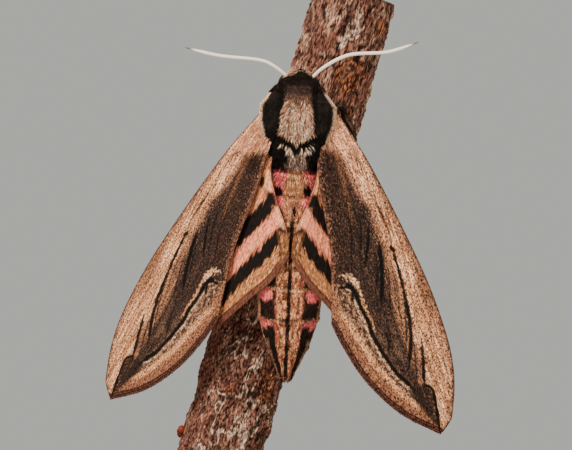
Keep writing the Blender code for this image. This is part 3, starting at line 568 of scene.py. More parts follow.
def wing_depth(side, x, z):
    """How deep a forewing's middle surface lies in the moth's frame, at a place seen from behind."""
    hinge, along, front, up = wing_axes(side, **WING_HOLD["forewing_left" if side < 0 else "forewing_right"])
    x_off, z_off = x - hinge.x, z - hinge.z
    spread = along.x * front.z - along.z * front.x
    u = (x_off * front.z - z_off * front.x) / spread
    v = (along.x * z_off - along.z * x_off) / spread
    bend = ((u / MM - ARCH_MIDDLE[0]) / ARCH_REACH[0]) ** 2 + ((v / MM - ARCH_MIDDLE[1]) / ARCH_REACH[1]) ** 2
    own = hinge.y + u * along.y + v * front.y + ARCH * (1 - bend) * up.y
    cover = COVER_TOP + COVER_BEND * x * x + COVER_FALL * np.maximum(0, z - COVER_FRONT)
    return (own + cover - np.hypot(own - cover, BLEND)) / 2


def wing_places(name, side, u, v, wave=0):
    """Places on a wing's middle surface in the moth's frame, from places on its drawing."""
    hinge, along, front, _ = wing_axes(side, **WING_HOLD[name])
    found = np.array(hinge) + (np.outer(u, along) + np.outer(v, front)) * MM
    below = 0 if name.startswith("forewing") else WING_LAYER
    found[:, 1] = wing_depth(side, found[:, 0], found[:, 2]) + below + wave
    return found


def to_world(points):
    """Points in the moth's own frame, in metres, to world points."""
    return points @ BODY[:3, :3].T + BODY[:3, 3]


def drawn(u, v, layer=0):
    """Flat places on a wing's drawing as points in space."""
    return np.stack([u, v, np.full_like(u, layer)], -1)


def forewing_ground(u, v, low, high, p, streak, cloud, ragged):
    """The forewing's broad zones: a pale front, a dark middle and a dark, rust-speckled inner part."""
    pale_to = np.interp(u, [0, 6, 12, 16, 22.7, 30, 36, 40, 44, 52],
                        [-1.4, -1, -0.1, 1, 1.3, 0.9, 0.5, 0.9, 0.7, 0.3])
    dark_from = np.interp(u, [0, 6, 12, 16, 18.6, 22, 29, 33, 38, 42, 46, 52],
                          [-1.7, -1.5, -0.9, 0.6, 0.3, 0.6, -0.6, -0.9, -0.9, -0.7, -0.6, 0])
    front = ramp(v + 0.35 * cloud, pale_to - 0.45, pale_to + 0.5)
    middle = ramp(v, pale_to + 0.3, pale_to - 0.5) * ramp(v, dark_from - 0.4, dark_from + 0.4)
    past_root = ramp(u + 0.8 * ragged - 0.5 * (v + 2), 4.4, 6.4)
    dark = ramp(dark_from - v + 0.3 * ragged, -0.3, 0.45) * (0.94 - 0.3 * ramp(streak, 0.1, 0.5))
    pale_patch = span(u, 31, 37, 43, 46) * ramp(dark_from - v, 0.2, 1.2)
    inner = ramp(low + 3.3 - v, -0.8, 0.8) * ramp(u, 27, 23) * past_root
    return washed(
        WING_BROWN,
        (COSTAL_TAN, front),
        (COSTAL_PALE, front * ramp(streak + 0.3 * cloud, -0.05, 0.5) * 0.7),
        (VEIN_BROWN, front * ramp(streak, 0.1, -0.35) * (0.72 + 0.18 * ramp(u, 22, 12))),
        ((82, 56, 47), ramp(high - v, 1.5, 0.15) * ramp(ragged + 0.2 * streak, -0.45, 0.25) * 0.85),
        ((172, 126, 100), middle * ramp(streak, -0.3, 0.3) * 0.6),
        ((84, 62, 54), ramp(v, 1.9, 0.9) * span(u, 26, 31, 41, 44) * ramp(streak, 0.3, -0.2) * 0.45),
        ((240, 190, 164), front * ramp(u, 15, 6) * ramp(streak, -0.3, 0.3) * 0.4),
        ((232, 176, 148), (1 - past_root) * (0.5 + 0.45 * ramp(streak, -0.3, 0.2))),
        (WING_DARK, dark * past_root),
        ((122, 94, 80), pale_patch * ramp(cloud, -0.3, 0.4) * 0.4),
        (WING_INNER, inner * 0.9),
        (RUST, inner * ramp(ragged, 0.15, 0.5) * 0.25),
        (VEIN_BROWN, ramp(v - low, 0.7, 0.25) * ramp(u, 29, 24) * ramp(ragged, -0.5, 0.2) * 0.7),
        ((150, 104, 80), stroke(p, [(1, -2.1), (9, -1.9), (17, -2.9)], 0.5, 0.3) * 0.3),
        ((104, 70, 54), blot(u, v, (31, 4.8), (6, 1.4), 0.3 * ragged) * 0.75),
        ((112, 76, 60), blot(u, v, (21, 4.6), (5, 0.9), 0.3 * ragged) * 0.5))


def forewing_edge(colour, u, v, p, ragged, fine):
    """The zone outside the black line: speckled scales, a cream line, a rust band and a dark rim."""
    beyond = np.interp(u, [24.4, 25.6, 26.9, 31.6, 34.2, 37.5, 39.5, 41.1, 42.7, 45],
                       [-9.3, -7, -5.9, -5.3, -5.2, -4.6, -4, -3.5, -2.6, -1.9])
    outer = ramp(beyond - v, -0.1, 0.25) * ramp(u, 24.3, 25.3)
    pale_line = [(a + 0.25, b - 0.5) for a, b in FORE_LINE]
    edge, _ = off_line(p, FORE_TERMEN)
    cream_to = np.interp(u, [29.6, 32.4, 38.5, 44.5, 47.1, 50], [-8.6, -7.6, -6.1, -3.4, -1.7, -0.1])
    cream_to += 0.25 * ragged
    band = ramp(cream_to - v, -0.4, 0.3) * ramp(edge, 0.7, 1.1)
    cream = near(v + 0.35, cream_to, 0.75, 0.2) * span(u, 28, 31, 46, 48.5)
    rim = ramp(edge, 1, 0.8) * ramp(u, 27.5, 30)
    rim_lines = np.maximum(near(edge, 0.82, 0.16, 0.05), near(edge, 0.4, 0.12, 0.03))
    return washed(
        colour,
        ((128, 98, 82), outer * 0.9),
        (WING_DARK, outer * ramp(ragged + 0.4 * fine, -0.15, 0.2) * 0.85),
        (WHITE_SCALES, outer * ramp(fine, 0, -0.4) * ramp(ragged, 0.2, -0.3) * 0.35),
        (WHITE_SCALES, stroke(p, pale_line, 0.3, 0.2, 0.1, fine * 0.6) * 0.35),
        (CREAM, stroke(p, FORE_CREAM_LINE, 0.28, 0.2, 0.35, fine * 0.5) * 0.6),
        ((214, 172, 142), stroke(p, FORE_TUFT, 0.55, 0.3, 0.35, fine * 0.9) * 0.8),
        (RUST, band * 0.85),
        ((92, 60, 46), band * ramp(fine, 0.05, 0.4) * 0.6),
        (CREAM, cream * (0.75 - 0.55 * ramp(fine, 0, 0.35))),
        (BORDER, rim),
        (LINE_BLACK, rim * rim_lines * 0.75)), edge


def forewing_tint(u, v, low, high):
    """The forewing's colours: the zones, the edge and the black lines drawn over them."""
    p, flat = np.stack([u, v], -1), drawn(u, v)
    streak = rough_grain(flat, (5, 0.3, 1), 4, 3)
    cloud = rough_grain(flat, (3, 1.2, 1), 11, 3)
    ragged = rough_grain(flat, (0.9, 0.5, 1), 14, 3)
    fine = rough_grain(flat, (0.5, 0.3, 1), 18, 2)
    ground = forewing_ground(u, v, low, high, p, streak, cloud, ragged)
    colour, edge = forewing_edge(ground, u, v, p, ragged, fine)
    waver = ragged * 0.16
    inks = [stroke(p, FORE_LINE, 0.56, 0.14, 0.1, waver * 1.3),
            stroke(p, [(25.6, -7.9), (26.4, -6.1), (28.4, -6.6)], 0.45, 0.15, 0.1, waver),
            blot(u, v - 0.25 * (u - 22.7), (22.7, 1.95), (0.7, 0.4), 0.5 * fine, 1.15, 0.75)]
    inks += [stroke(p, knots, wide, 0.12, taper, waver) * dark for knots, wide, taper, dark in BLACK_STREAKS]
    black = np.clip(np.max(inks, axis=0), 0, 1)
    corner_low = -2.75 + 0.36 * (u - 44)
    corner = ramp(v, corner_low - 0.3, corner_low + 0.4) * ramp(u, 43.6, 44.6) * ramp(edge, 0.6, 1.2)
    corner = corner * ramp(np.interp(u, [44, 46, 52], [0.1, 1.1, 0.2]) - v, -0.1, 0.15)
    zone = np.interp(u, [0, 12, 18, 24, 40, 52], [-1.6, -0.6, 0.4, -0.2, -1.4, 0])
    specks = 0.16 + 0.45 * np.maximum(near(zone, v, 0.9, 0.2), ramp(v - low, 1.5, 0.5)) * ramp(u, 30, 24)
    specks = specks * ramp(edge, 0.8, 1.3) * (1 - 0.6 * corner) * (1 - ramp(black, 0.1, 0.6))
    return washed(
        colour,
        ((36, 27, 24), corner * (0.95 - 0.3 * ramp(fine, 0.1, 0.4))),
        (LINE_BLACK, black * 0.98),
        ((74, 48, 40), ramp(high - v, 0.42, 0.12) * 0.8)), specks


def hindwing_tint(u, v, *_):
    """The hindwing's colours: two black bands across pink, a tan edge and pale hairs on the inner fold."""
    p, flat = np.stack([u, v], -1), drawn(u, v)
    ragged = rough_grain(flat, (1.7, 0.34, 1), 24, 3)
    hair = rough_grain(flat, (2.6, 0.22, 1), 28, 3)
    q = u - 2 * v + 0.9 * ragged + 1 * hair + 1.2 * grain(flat, (3.4, 0.24, 1), 36)
    edge, _ = off_line(p, HIND_TERMEN)
    fold, _ = off_line(p, HIND_INNER)
    brown = ramp(fold + 0.4 * ragged, 1.9, 1.3) * ramp(u, 10.6, 11.6) * ramp(edge, 0.3, 1)
    folded = fold - 0.2 * ragged
    creases = np.maximum(near(folded, 1.45, 0.3, 0.05), near(folded, 0.7, 0.25, 0.05) * 0.8)
    creases = np.maximum(creases, ramp(hair, -0.05, -0.4))
    cream = np.maximum(span(u, 1.5, 2.6, 5.2, 6.2), span(u, 7.3, 7.9, 10, 10.8))
    cream = cream * ramp(fold + 0.8 * hair, 0.9 + 0.3 * ramp(u, 6.8, 8), 0.25)
    return washed(
        HIND_BASE,
        ((232, 184, 154), ramp(hair, -0.1, 0.4) * 0.6),
        ((150, 96, 78), ramp(hair, -0.15, -0.5) * 0.5),
        (HIND_BLACK, ramp(q, 10.5, 11.9)),
        (HIND_PINK, ramp(q, 16.1, 17.5)),
        ((236, 172, 146), ramp(q, 17.2, 18.5) * ramp(hair, 0, 0.4) * 0.6),
        (HIND_BLACK, ramp(q, 21.2, 22.8)),
        (HIND_TAN, ramp(q, 26.6, 27.4)),
        ((192, 140, 104), ramp(q, 27, 28) * ramp(ragged, 0.1, 0.4) * 0.6),
        ((100, 66, 56), ramp(edge, 1, 0.75) * ramp(q, 23, 26) * 0.95),
        ((52, 34, 29), near(edge, 0.88, 0.18, 0.05) * ramp(q, 23, 26) * 0.8),
        ((140, 98, 74), brown),
        ((196, 142, 106), brown * ramp(hair, 0.1, 0.4) * 0.7),
        ((34, 24, 20), brown * creases * 0.85),
        (HIND_CREAM, cream * (0.4 + 0.45 * ramp(hair, -0.2, 0.3))),
        (HIND_BLACK, span(u, 5.6, 6.2, 7, 7.6) * ramp(fold + 0.6 * hair, 1.9, 1) * 0.9),
        ((186, 108, 96), ramp(fold, 0.35, 0.1) * ramp(u, 12, 9) * 0.5),
        (LINE_BLACK, blot(u, v, (4.9, -0.7), (0.9, 0.45), 0.5 * hair, 1.2, 0.6) * 0.95),
    ), 0.5 * ramp(q, 26.6, 27.4) * ramp(edge, 0.8, 1.2)


def under_tint(u, v, colour, bands):
    """The underside: the upper markings faintly, under greyish pink."""
    shade = rough_grain(drawn(u, v), (4, 0.5, 1), 51, 3)
    return washed(
        colour,
        (UNDER_PINK, np.full(len(u), 0.72)),
        ((120, 88, 76), ramp(shade, 0, 0.5) * 0.4),
        ((96, 70, 62), near(u + 0.8 * v, bands, 0.9, 0.3) * 0.5))


# What each pair of wings is made from: its lines, its points along and across, how far it stops short of
# the apex's point and is rounded there, its tints, the underside's faint band, its scales, and the
# colour of its fringe and the number of hairs at its root
WING_PLANS = {
    "forewing": dict(
        lines=(FORE_COSTA, FORE_TERMEN, FORE_INNER, FORE_VEINS), grid=(404, 120), short=0.3, rounded=0.4,
        tint=forewing_tint, band=33, slot="brown_scales", grains=((0.32, 0.18, 0.18), 0.85, 1),
        speck=FORE_SPECK, fringe=BORDER, hairs=420),
    "hindwing": dict(
        lines=(HIND_COSTA, HIND_TERMEN, HIND_INNER, HIND_VEINS), grid=(300, 110), short=0.05, rounded=0,
        tint=hindwing_tint, band=17, slot="pink_scales", grains=((0.6, 0.17, 0.17), 0.45, 4),
        speck=HIND_SPECK, fringe=(112, 76, 62), hairs=800),
}


def make_wing(name, side, material):
    """A closed plate: the upper face and the underside joined round the rim, with raised veins."""
    plan = WING_PLANS[name.split("_")[0]]
    costa, termen, inner, veins = plan["lines"]
    columns, rows = plan["grid"]
    top, bottom = curve_through(costa), np.vstack([curve_through(termen), curve_through(inner)[1:]])[::-1]
    start, end = top[0, 0], top[:, 0].max() - plan["short"]
    u = start + (end - start) * (1 - (1 - np.linspace(0, 1, columns)) ** APEX_CROWDING)
    high = np.interp(u, top[:, 0], top[:, 1]) + plan["rounded"] * np.exp(-(((u - TIP_AT) / TIP_REACH) ** 2))
    order = np.argsort(bottom[:, 0])
    low = np.interp(u, bottom[order, 0], bottom[order, 1])
    # The rows lie closer together towards both edges
    turn = np.cos(np.linspace(0, math.pi, rows))
    share = np.linspace(0, 1, rows) * 0.8 + (0.5 - 0.5 * turn * (0.35 + 0.65 * np.abs(turn) ** 0.6)) * 0.2
    v = (low[:, None] + (high - low)[:, None] * share[None]).ravel()
    u, low, high = (np.repeat(a, rows) for a in (u, low, high))
    rim = np.minimum(v - low, high - v)
    wave = WING_WAVE * grain(drawn(u, v), (7, 2, 1), 60) * ramp(rim, 0, 1.5)
    spot = wing_places(name, side, u, v, wave)
    grid = spot.reshape(columns, rows, 3)
    normal = np.cross(np.gradient(grid, axis=1), np.gradient(grid, axis=0)).reshape(-1, 3)
    normal /= np.linalg.norm(normal, axis=1)[:, None]
    normal *= np.sign(-normal[:, 1])[:, None]
    to_vein = np.min([off_line(np.stack([u, v], -1), vein, 6)[0] for vein in veins], axis=0)
    half = MEMBRANE * (0.25 + 0.75 * ramp(rim, 0, 0.5))
    half = half + VEIN_HEIGHT * ramp(to_vein, VEIN_WIDTH, 0) * ramp(rim, 0, 0.8)

    def both(upper, lower):
        """The upper face's rows, and then the underside's back again, as one ring."""
        upper, lower = (a.reshape(columns, rows, -1) for a in (upper, lower))
        return np.concatenate([upper, lower[:, ::-1]], axis=1).reshape(columns * rows * 2, -1)

    faces = [wrapped_grid(columns, rows * 2)]
    for column in (0, columns - 1):
        i = np.arange(rows - 1)
        faces.append(column * rows * 2 + np.stack([i, i + 1, 2 * rows - 2 - i, 2 * rows - 1 - i], -1))
    points = both(spot + normal * half[:, None], spot - normal * half[:, None])
    wing = shaped(name + "_scales", to_world(points), faces, material)
    colour, specks = plan["tint"](u, v, low, high)
    back = under_tint(u, v, colour, plan["band"])
    paint(wing, both(colour, back), both(specks, specks * 0.3).ravel())
    lay_out(wing, both(drawn(u, v, side * 3), drawn(u, v, side * 3 + 9)))
    return wing


for pair, plan in WING_PLANS.items():
    scales = speckled_material(pair + "_scales", *plan["grains"], 0.85, 0.35, speck=plan["speck"])
    for word, side in SIDES.items():
        wing = make_wing(pair + "_" + word, side, scales)
        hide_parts(pair + "_" + word)
        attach(wing, "root")


# Body
# Head, thorax, shoulder flaps and abdomen under one skin, made from the part's own solids swollen
# until they touch. Its colours follow the real one's: black shoulders, pale hair, pink and black rings.
BODY_PARTS = ["head", "thorax", "tegula_left", "tegula_right", "abdomen"]
SKIN_GRAIN, SKIN_ROUNDS = 0.17 * MM, 6
SWELL = 0.2 * MM
WELD = 0.01 * MM
# The shoulders' slope to the neck: from how far out, over which heights, and how much of it is left
SHOULDER_SIDE, SHOULDER_HEIGHTS, SHOULDER_LEFT = 2.6, (3, 6.4), (1, 0.35)

FUR_BLACK = (25, 20, 18)
FUR_BROWN = (100, 79, 72)
FUR_PALE = (248, 190, 164)
FUR_WHITE = (250, 208, 184)
BELLY = (176, 142, 124)
BODY_TAN = (196, 136, 110)
BODY_PINK = (240, 134, 134)
BODY_BLACK = (20, 15, 13)
# The abdomen's rings: where each ends, half its width, and its pink spot's length and place along it
RING_ENDS = [-6.6, -11, -15, -19.9, -25.1, -30.1, -34.6, -38.9]
RING_WIDTHS = [3.4, 4.1, 4.6, 4.8, 4.9, 4.6, 3.6, 1.6]
PINK_SPOTS = [(0.62, 0.35), (0.3, 0.25), (0.3, 0.22), (0.27, 0.22), (0.27, 0.22), (0.24, 0.16), (0, 0.1)]
FIRST_RING_SPOTS = [
    ((-2.6, -12), (1, 1), BODY_PINK), ((2, -12), (0.8, 0.9), BODY_PINK),
    ((-2.36, -10.35), (0.6, 0.8), BODY_BLACK), ((2, -10.2), (0.6, 0.8), BODY_BLACK),
    ((0.15, -13.3), (0.22, 0.8), BODY_BLACK), ((-2.1, -13.9), (0.5, 0.8), BODY_BLACK),
    ((2.2, -13.9), (0.45, 0.8), BODY_BLACK)]


def cad_copy(nodes):
    """CAD nodes' meshes as one, with their loose triangles joined."""
    made = bmesh.new()
    for name in nodes:
        made.from_mesh(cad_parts[name].data)
    bmesh.ops.remove_doubles(made, verts=made.verts, dist=WELD)
    return made


def finish_modifiers(obj):
    """Makes an object's modifiers its plain mesh."""
    bpy.context.view_layer.update()
    mesh = bpy.data.meshes.new_from_object(obj.evaluated_get(bpy.context.evaluated_depsgraph_get()))
    obj.modifiers.clear()
    obj.data = mesh
    mesh.shade_smooth()
    return obj


def one_skin(name, nodes, swell, voxel, rounds):
    """One closed skin over several CAD nodes, each swollen along its normals."""
    joined = bmesh.new()
    for part in nodes:
        made = cad_copy([part])
        made.normal_update()
        for vertex in made.verts:
            vertex.co += vertex.normal * swell
        mesh = mesh_of(part + "_copy", made)
        joined.from_mesh(mesh)
        bpy.data.meshes.remove(mesh)
    made = placed(name, mesh_of(name, joined))
    wrap = made.modifiers.new("wrap", "REMESH")
    wrap.mode, wrap.voxel_size = "VOXEL", voxel
    ease = made.modifiers.new("ease", "SMOOTH")
    ease.factor, ease.iterations = 0.5, rounds
    return finish_modifiers(made)


def read(items, what, wide, kind=np.float32):
    """A property of all of a mesh's points, corners or faces, as an array."""
    found = np.zeros(len(items) * wide, kind)
    items.foreach_get(what, found)
    return found.reshape(-1, wide)


def vertex_places(obj):
    """World places of an object's vertices."""
    return read(obj.data.vertices, "co", 3).astype(float)


def from_world(points):
    """World points in the moth's own frame, in millimetres: right, towards the belly, to the head."""
    return (points - BODY[:3, 3]) @ BODY[:3, :3] / MM


def thorax_tint(x, y, z, ragged, soft):
    """The thorax's back: black flaps round a disc of pale hair, a black V, white tufts, and black behind."""
    ax = np.abs(x)
    strands = rough_grain(np.stack([x + 0.5 * soft, y, z], -1), (0.34, 0.34, 1.7), 93, 2)
    rust = ramp(np.abs(ax - 2.35 + 0.12 * z), 0.5, 0.15) * ramp(z, 4, 2.8) * ramp(ragged, -0.2, 0.2)
    top = washed(
        FUR_BROWN,
        ((56, 48, 46), ramp(z + 0.9 * soft, 3.3, 5.9) * 0.85),
        (FUR_PALE, ramp(4.4 - z + 1.1 * soft, 0, 3.4) * (0.75 + 0.25 * ramp(ragged, -0.3, 0.3))),
        ((110, 80, 68), ramp(ragged, 0, -0.4) * 0.55),
        (FUR_WHITE, ramp(1.2 - z, 0, 2.6) * ramp(ragged, -0.05, 0.35) * 0.85),
        ((92, 66, 58), ramp(strands, 0.02, 0.36) * ramp(z, 5.5, 3.5) * 0.7),
        ((255, 226, 206), ramp(strands, -0.04, -0.36) * ramp(2.6 - z, 0, 2) * 0.75),
        ((142, 92, 78), rust * 0.55))
    behind = -3.1 + 0.5 * ax - z + 0.15 * ragged
    tuft = near(behind, 1.75, 0.68, 0.4) * span(ax, 0.25, 0.6, 2.3, 3)
    grey = blot(x, z, (0.2, -6), (1.7, 1.3), 0.5 * ragged, 1.25, 0.5)
    return washed(
        FUR_BLACK,
        ((52, 40, 36), ramp(soft + 0.5 * ragged, -0.2, 0.5) * 0.45),
        (top, ramp(ax + 0.35 * ragged, 2.75 - 0.13 * z, 2.35 - 0.13 * z)),
        (BODY_BLACK, ramp(behind, -0.12, 0.12) * ramp(ax, 0, 0.5)),
        (BODY_BLACK, ramp(behind, 0.25, 0.55)),
        ((242, 206, 186), tuft * ramp(ragged + 0.5 * soft, -0.25, 0.1) * 0.95),
        ((178, 148, 138), grey * (0.5 + 0.45 * ramp(ragged, -0.2, 0.2))))


def abdomen_tint(x, y, z, ragged, soft):
    """The abdomen: tan stripes either side of a black line, with pink and black on each ring's flanks."""
    ax = np.abs(x)
    turn = ax / np.interp(-z, [-e for e in RING_ENDS], RING_WIDTHS)
    bowed = z + 0.9 * np.clip(1 - turn**2, 0, 1) - 0.3
    colour = washed(
        BODY_TAN,
        ((250, 194, 160), ramp(ragged, 0, 0.3) * 0.75),
        ((78, 48, 38), ramp(ragged, 0.05, -0.3) * 0.8),
        ((196, 104, 96), near(turn, 0.42, 0.12, 0.02) * ramp(soft, -0.2, 0.3) * 0.5))
    for i, (start, end, (reach, at)) in enumerate(zip(RING_ENDS, RING_ENDS[1:], PINK_SPOTS)):
        place = (start - bowed) / (start - end)
        inside = span(place, 0, 0.05, 0.95, 1)
        inner = (0.42 + 0.05 * near(place, 0.5, 0.5, 0.1)) if i < 5 else 0.5
        flank = ramp(turn + 0.1 * ragged, inner - 0.05, inner + 0.05)
        colour = washed(colour, (BODY_BLACK, inside * flank * 0.97))
        if reach:
            pink = blot(turn, place, (0.8, at), (0.28 if i else 0.55, reach), 0.35 * ragged, 1.1, 0.75)
            colour = washed(colour, (BODY_PINK, pink * inside * 0.95))
    ring = np.min([np.abs(bowed - end) for end in RING_ENDS[1:-1]], axis=0)
    tail = ramp(z, -30.8, -31.6)
    line = ramp(np.abs(x + 0.1 + 0.12 * soft), 0.42, 0.24) * ramp(z, -12, -12.6)
    around = np.hypot(x - 0.3, z + 9.3)
    side_line = ramp(turn + 0.05 * ragged, 0.94, 0.98) * ramp(z, -13, -16) * ramp(y, -2.5, -0.5)
    colour = washed(
        colour,
        ((196, 158, 130), ramp(ring + 0.35 * ragged, 0.45, 0.1) * ramp(turn, 0.8, 0.45) * 0.32),
        ((120, 92, 76), ramp(ring, 0.25, 0.05) * ramp(turn, 0.5, 0.6) * 0.7),
        ((48, 34, 28), np.minimum(ramp(ring, 0.6, 0.5), ramp(ring, 0.3, 0.42)) * 0.5),
        ((146, 112, 96), tail * ramp(turn, 0.5, 0.56) * (1 - ramp(z, -34, -33) * ramp(turn, 0.74, 0.8))),
        (BODY_BLACK, tail * ramp(np.abs(turn - 0.64 + 0.06 * ragged), 0.17, 0.11) * 0.97),
        (BODY_BLACK, line * (0.97 - 0.3 * ramp(ragged, 0.2, 0.4))),
        ((206, 154, 124), ramp(around + 0.4 * ragged, 2, 1.4) * 0.9),
        ((112, 80, 64), near(around, 1.5, 0.35, 0.1) * ramp(ragged, -0.3, 0.2) * 0.5),
        ((178, 126, 104), span(z, -15.5, -14.5, -11.6, -11) * ramp(ax, 2, 1.4) * 0.6),
        *((tone, blot(x, z, at, reach, 0.3 * ragged, 1.2, 0.8)) for at, reach, tone in FIRST_RING_SPOTS),
        ((204, 156, 132), side_line * 0.8))
    belly = washed((196, 160, 140), ((150, 112, 96), ramp(ring, 0.5, 0.1) * 0.5))
    return washed(
        belly,
        (colour, ramp(y, 3.4, 2.4)),
        ((232, 196, 168), near(y, 2.6, 0.7, 0.3) * 0.7),
        ((120, 88, 76), ramp(ax, 0.7, 0.3) * ramp(y, 4, 5) * 0.7))


def body_tint(local):
    """The colours of the coat and of the skin under it, at places in the moth's own frame."""
    x, y, z = local.T
    ragged = rough_grain(local, (0.55, 0.55, 1.2), 70, 3)
    soft = rough_grain(local, (1.5, 1.5, 2), 74, 2)
    rim_from = np.interp(z, [3, 5.1, 6.4], [4.85, 4.1, 3]) - 0.3 * (x > 0)
    rim = ramp(np.abs(x) + 0.1 * ragged, rim_from, rim_from + 0.2) * ramp(y, -3.9, -2.9) * ramp(z, 6, 5)
    dorsal = washed(thorax_tint(x, y, z, ragged, soft), ((236, 202, 178), rim * ramp(z, -6.5, -4)))
    crest = ramp(z + 0.62 * np.abs(x - 0.2) + 0.15 * ragged, 8.45, 8.6) * near(x, 0.2, 3.3, 2.9)
    face = washed(
        (38, 31, 29),
        ((70, 50, 42), ramp(ragged, 0, 0.4) * 0.6),
        ((232, 190, 166), crest * ramp(y, 3.6, 2.6)),
        ((214, 178, 158), ramp(y - 0.55 * (8.6 - z), 1.9, 2.6) * 0.9),
        ((120, 88, 76), ramp(y, 4.2, 5.2) * 0.8))
    return washed(
        BELLY,
        ((122, 94, 82), ramp(soft, -0.1, 0.4) * 0.4),
        ((232, 198, 176), ramp(z, -6.5, -5.5) * ramp(y, 4, 2) * 0.7),
        (dorsal, ramp(y - 1.6 + 0.3 * ragged, 0.6, -0.2)),
        (abdomen_tint(x, y, z, ragged, soft), 1 - ramp(z, -7.3, -6.9)),
        (face, ramp(z + 0.15 * y, 5, 5.6)))


skin = one_skin("body_skin", BODY_PARTS, SWELL, SKIN_GRAIN, SKIN_ROUNDS)
# The front of the shoulders slopes in to the neck
shoulder = from_world(vertex_places(skin))
past = np.maximum(np.abs(shoulder[:, 0]) - SHOULDER_SIDE, 0)
left = np.interp(shoulder[:, 2], SHOULDER_HEIGHTS, SHOULDER_LEFT)
pulled = past * (1 - left) * ramp(shoulder[:, 1], 1.6, 0.6)
shoulder[:, 0] -= np.sign(shoulder[:, 0]) * pulled
skin_places = to_world(shoulder * MM)
skin.data.vertices.foreach_set("co", skin_places.astype(np.float32).ravel())
skin.data.update()
paint(skin, body_tint(from_world(skin_places)))
skin.data.materials.append(speckled_material(
    "body_skin", (0.14 * MM, 0.14 * MM, 0.5 * MM), 0.35, 6, 0.9, 0.5, "object", 0.1 * MM))
for part in BODY_PARTS:
    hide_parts(part)
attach(skin, "root")


# Coat
# Short hair-like scales over the body: fine, curved, three-sided solid locks that lie back along the
# body, longer on the thorax and at the tail. Each carries its colour and a place on the skin's unwrap.
# The wings' fringes and the hairs at their roots are made of the same locks.
COAT_PIECES = {  # locks, length, width, how far they stand up, and from where to where along the body
    "thorax": (19600, 1.05, 0.14, 0.4, (-7.6, 6)),
    "head": (5600, 0.7, 0.11, 0.4, (5.2, 9.5)),
    "abdomen": (19600, 0.62, 0.17, 0.2, (-40, -7)),
}
LOCK_LIFT = 0.06 * MM
# A lock's two rings: how far along it, how thick and how high. Then its points' painted shading, from root to
# tip (painted shade at the root, a painted highlight at the tip), and their places on a patch of the unwrap
LOCK_RINGS = ((0, 0.8, -0.08), (0.52, 1, 0.62))
LOCK_PAINTED_SHADING = [0.58] * 3 + [0.98] * 3 + [1.18]
LOCK_CONTRAST = 0.4  # how much the locks' own tones differ
LOCK_UNWRAP, PATCH = [(0, 0), (1, 0), (0.5, 0.3), (0, 0.5), (1, 0.5), (0.5, 0.7), (0.5, 1)], 0.003
# The fringes' spacing, and how far inside the edge their roots lie, on the drawing
FRINGE_STEP, QUICK_FRINGE_STEP, FRINGE_ROOT = 0.055, 0.16, 0.4
FRINGE_WIDTH, FRINGE_LIFT, FRINGE_PALE = 0.11 * MM, 0.02, (124, 86, 70)
HAIR_WIDTH = 0.1 * MM


def surface_spots(obj, count, rng, keep):
    """Places and normals spread evenly over the faces of a skin that the rule keeps."""
    mesh = obj.data
    mesh.calc_loop_triangles()
    corners = read(mesh.loop_triangles, "vertices", 3, np.int32)
    places, normals = vertex_places(obj), read(mesh.vertex_normals, "vector", 3)
    a, b, c = (places[corners[:, i]] for i in range(3))
    area = np.linalg.norm(np.cross(b - a, c - a), axis=1) * keep((a + b + c) / 3)
    pick = rng.choice(len(area), size=count, p=area / area.sum())
    s, t = rng.random(count), rng.random(count)
    over = s + t > 1
    s, t = np.where(over, 1 - s, s), np.where(over, 1 - t, t)
    shares = np.stack([1 - s - t, s, t], -1)
    spot, normal = (sum(of[corners[pick, i]] * shares[:, i : i + 1] for i in range(3))
                    for of in (places, normals))
    return spot, normal / np.linalg.norm(normal, axis=1)[:, None]


def locks(name, roots, normals, lies, lengths, widths, lifts, colours, unwrap, rng):
    """One mesh of curved three-sided locks. The lies are the ways that they point along the skin."""
    count = len(roots)
    lies = lies - normals * np.sum(lies * normals, axis=1)[:, None]
    lies /= np.linalg.norm(lies, axis=1)[:, None] + 1e-12
    across = np.cross(normals, lies)
    rings = []
    for share, thick, rise in LOCK_RINGS:
        middle = roots + (lies * share + normals * (lifts * rise)[:, None]) * lengths[:, None]
        for turn in (0, math.tau / 3, 2 * math.tau / 3):
            flat = across * math.cos(turn + math.pi / 6) + normals * math.sin(turn + math.pi / 6) * 0.5
            rings.append(middle + flat * (widths * thick / 2)[:, None])
    tip = roots + (lies + normals * (lifts * 0.8)[:, None]) * lengths[:, None]
    points = np.stack([*rings, tip], axis=1)
    quads = np.array([[a, (a + 1) % 3, (a + 1) % 3 + 3, a + 3] for a in range(3)])
    fans = np.array([[3, 4, 6], [4, 5, 6], [5, 3, 6], [2, 1, 0]])
    first = (np.arange(count) * 7)[:, None, None]
    faces = [(quads + first).reshape(-1, 4), (fans + first).reshape(-1, 3)]
    made = shaped(name, points.reshape(-1, 3), faces, coat_material)
    own = np.exp(rng.normal(0, LOCK_CONTRAST, count))
    # Each lock's colour gets painted shade towards its root and a painted highlight at its tip
    paint(made, (colours[:, None] * np.array(LOCK_PAINTED_SHADING)[None, :, None] * own[:, None, None]).reshape(-1, 3))
    layer = made.data.uv_layers.new(name="OFBake")
    loops = read(made.data.loops, "vertex_index", 1, np.int32)[:, 0]
    uv = unwrap[loops // 7] + (np.array(LOCK_UNWRAP) * PATCH)[loops % 7]
    layer.data.foreach_set("uv", np.clip(uv, 0, 1).astype(np.float32).ravel())
    return made


def body_unwrap(local):
    """Where a place on the body lies on its own unwrap: round the body, and from tail to head."""
    turn = np.arctan2(local[:, 0], -(local[:, 1] - 0.8)) / math.tau + 0.5
    return np.stack([0.01 + 0.97 * turn, 0.01 + 0.97 * np.clip((local[:, 2] + 39.5) / 49, 0, 1)], -1)


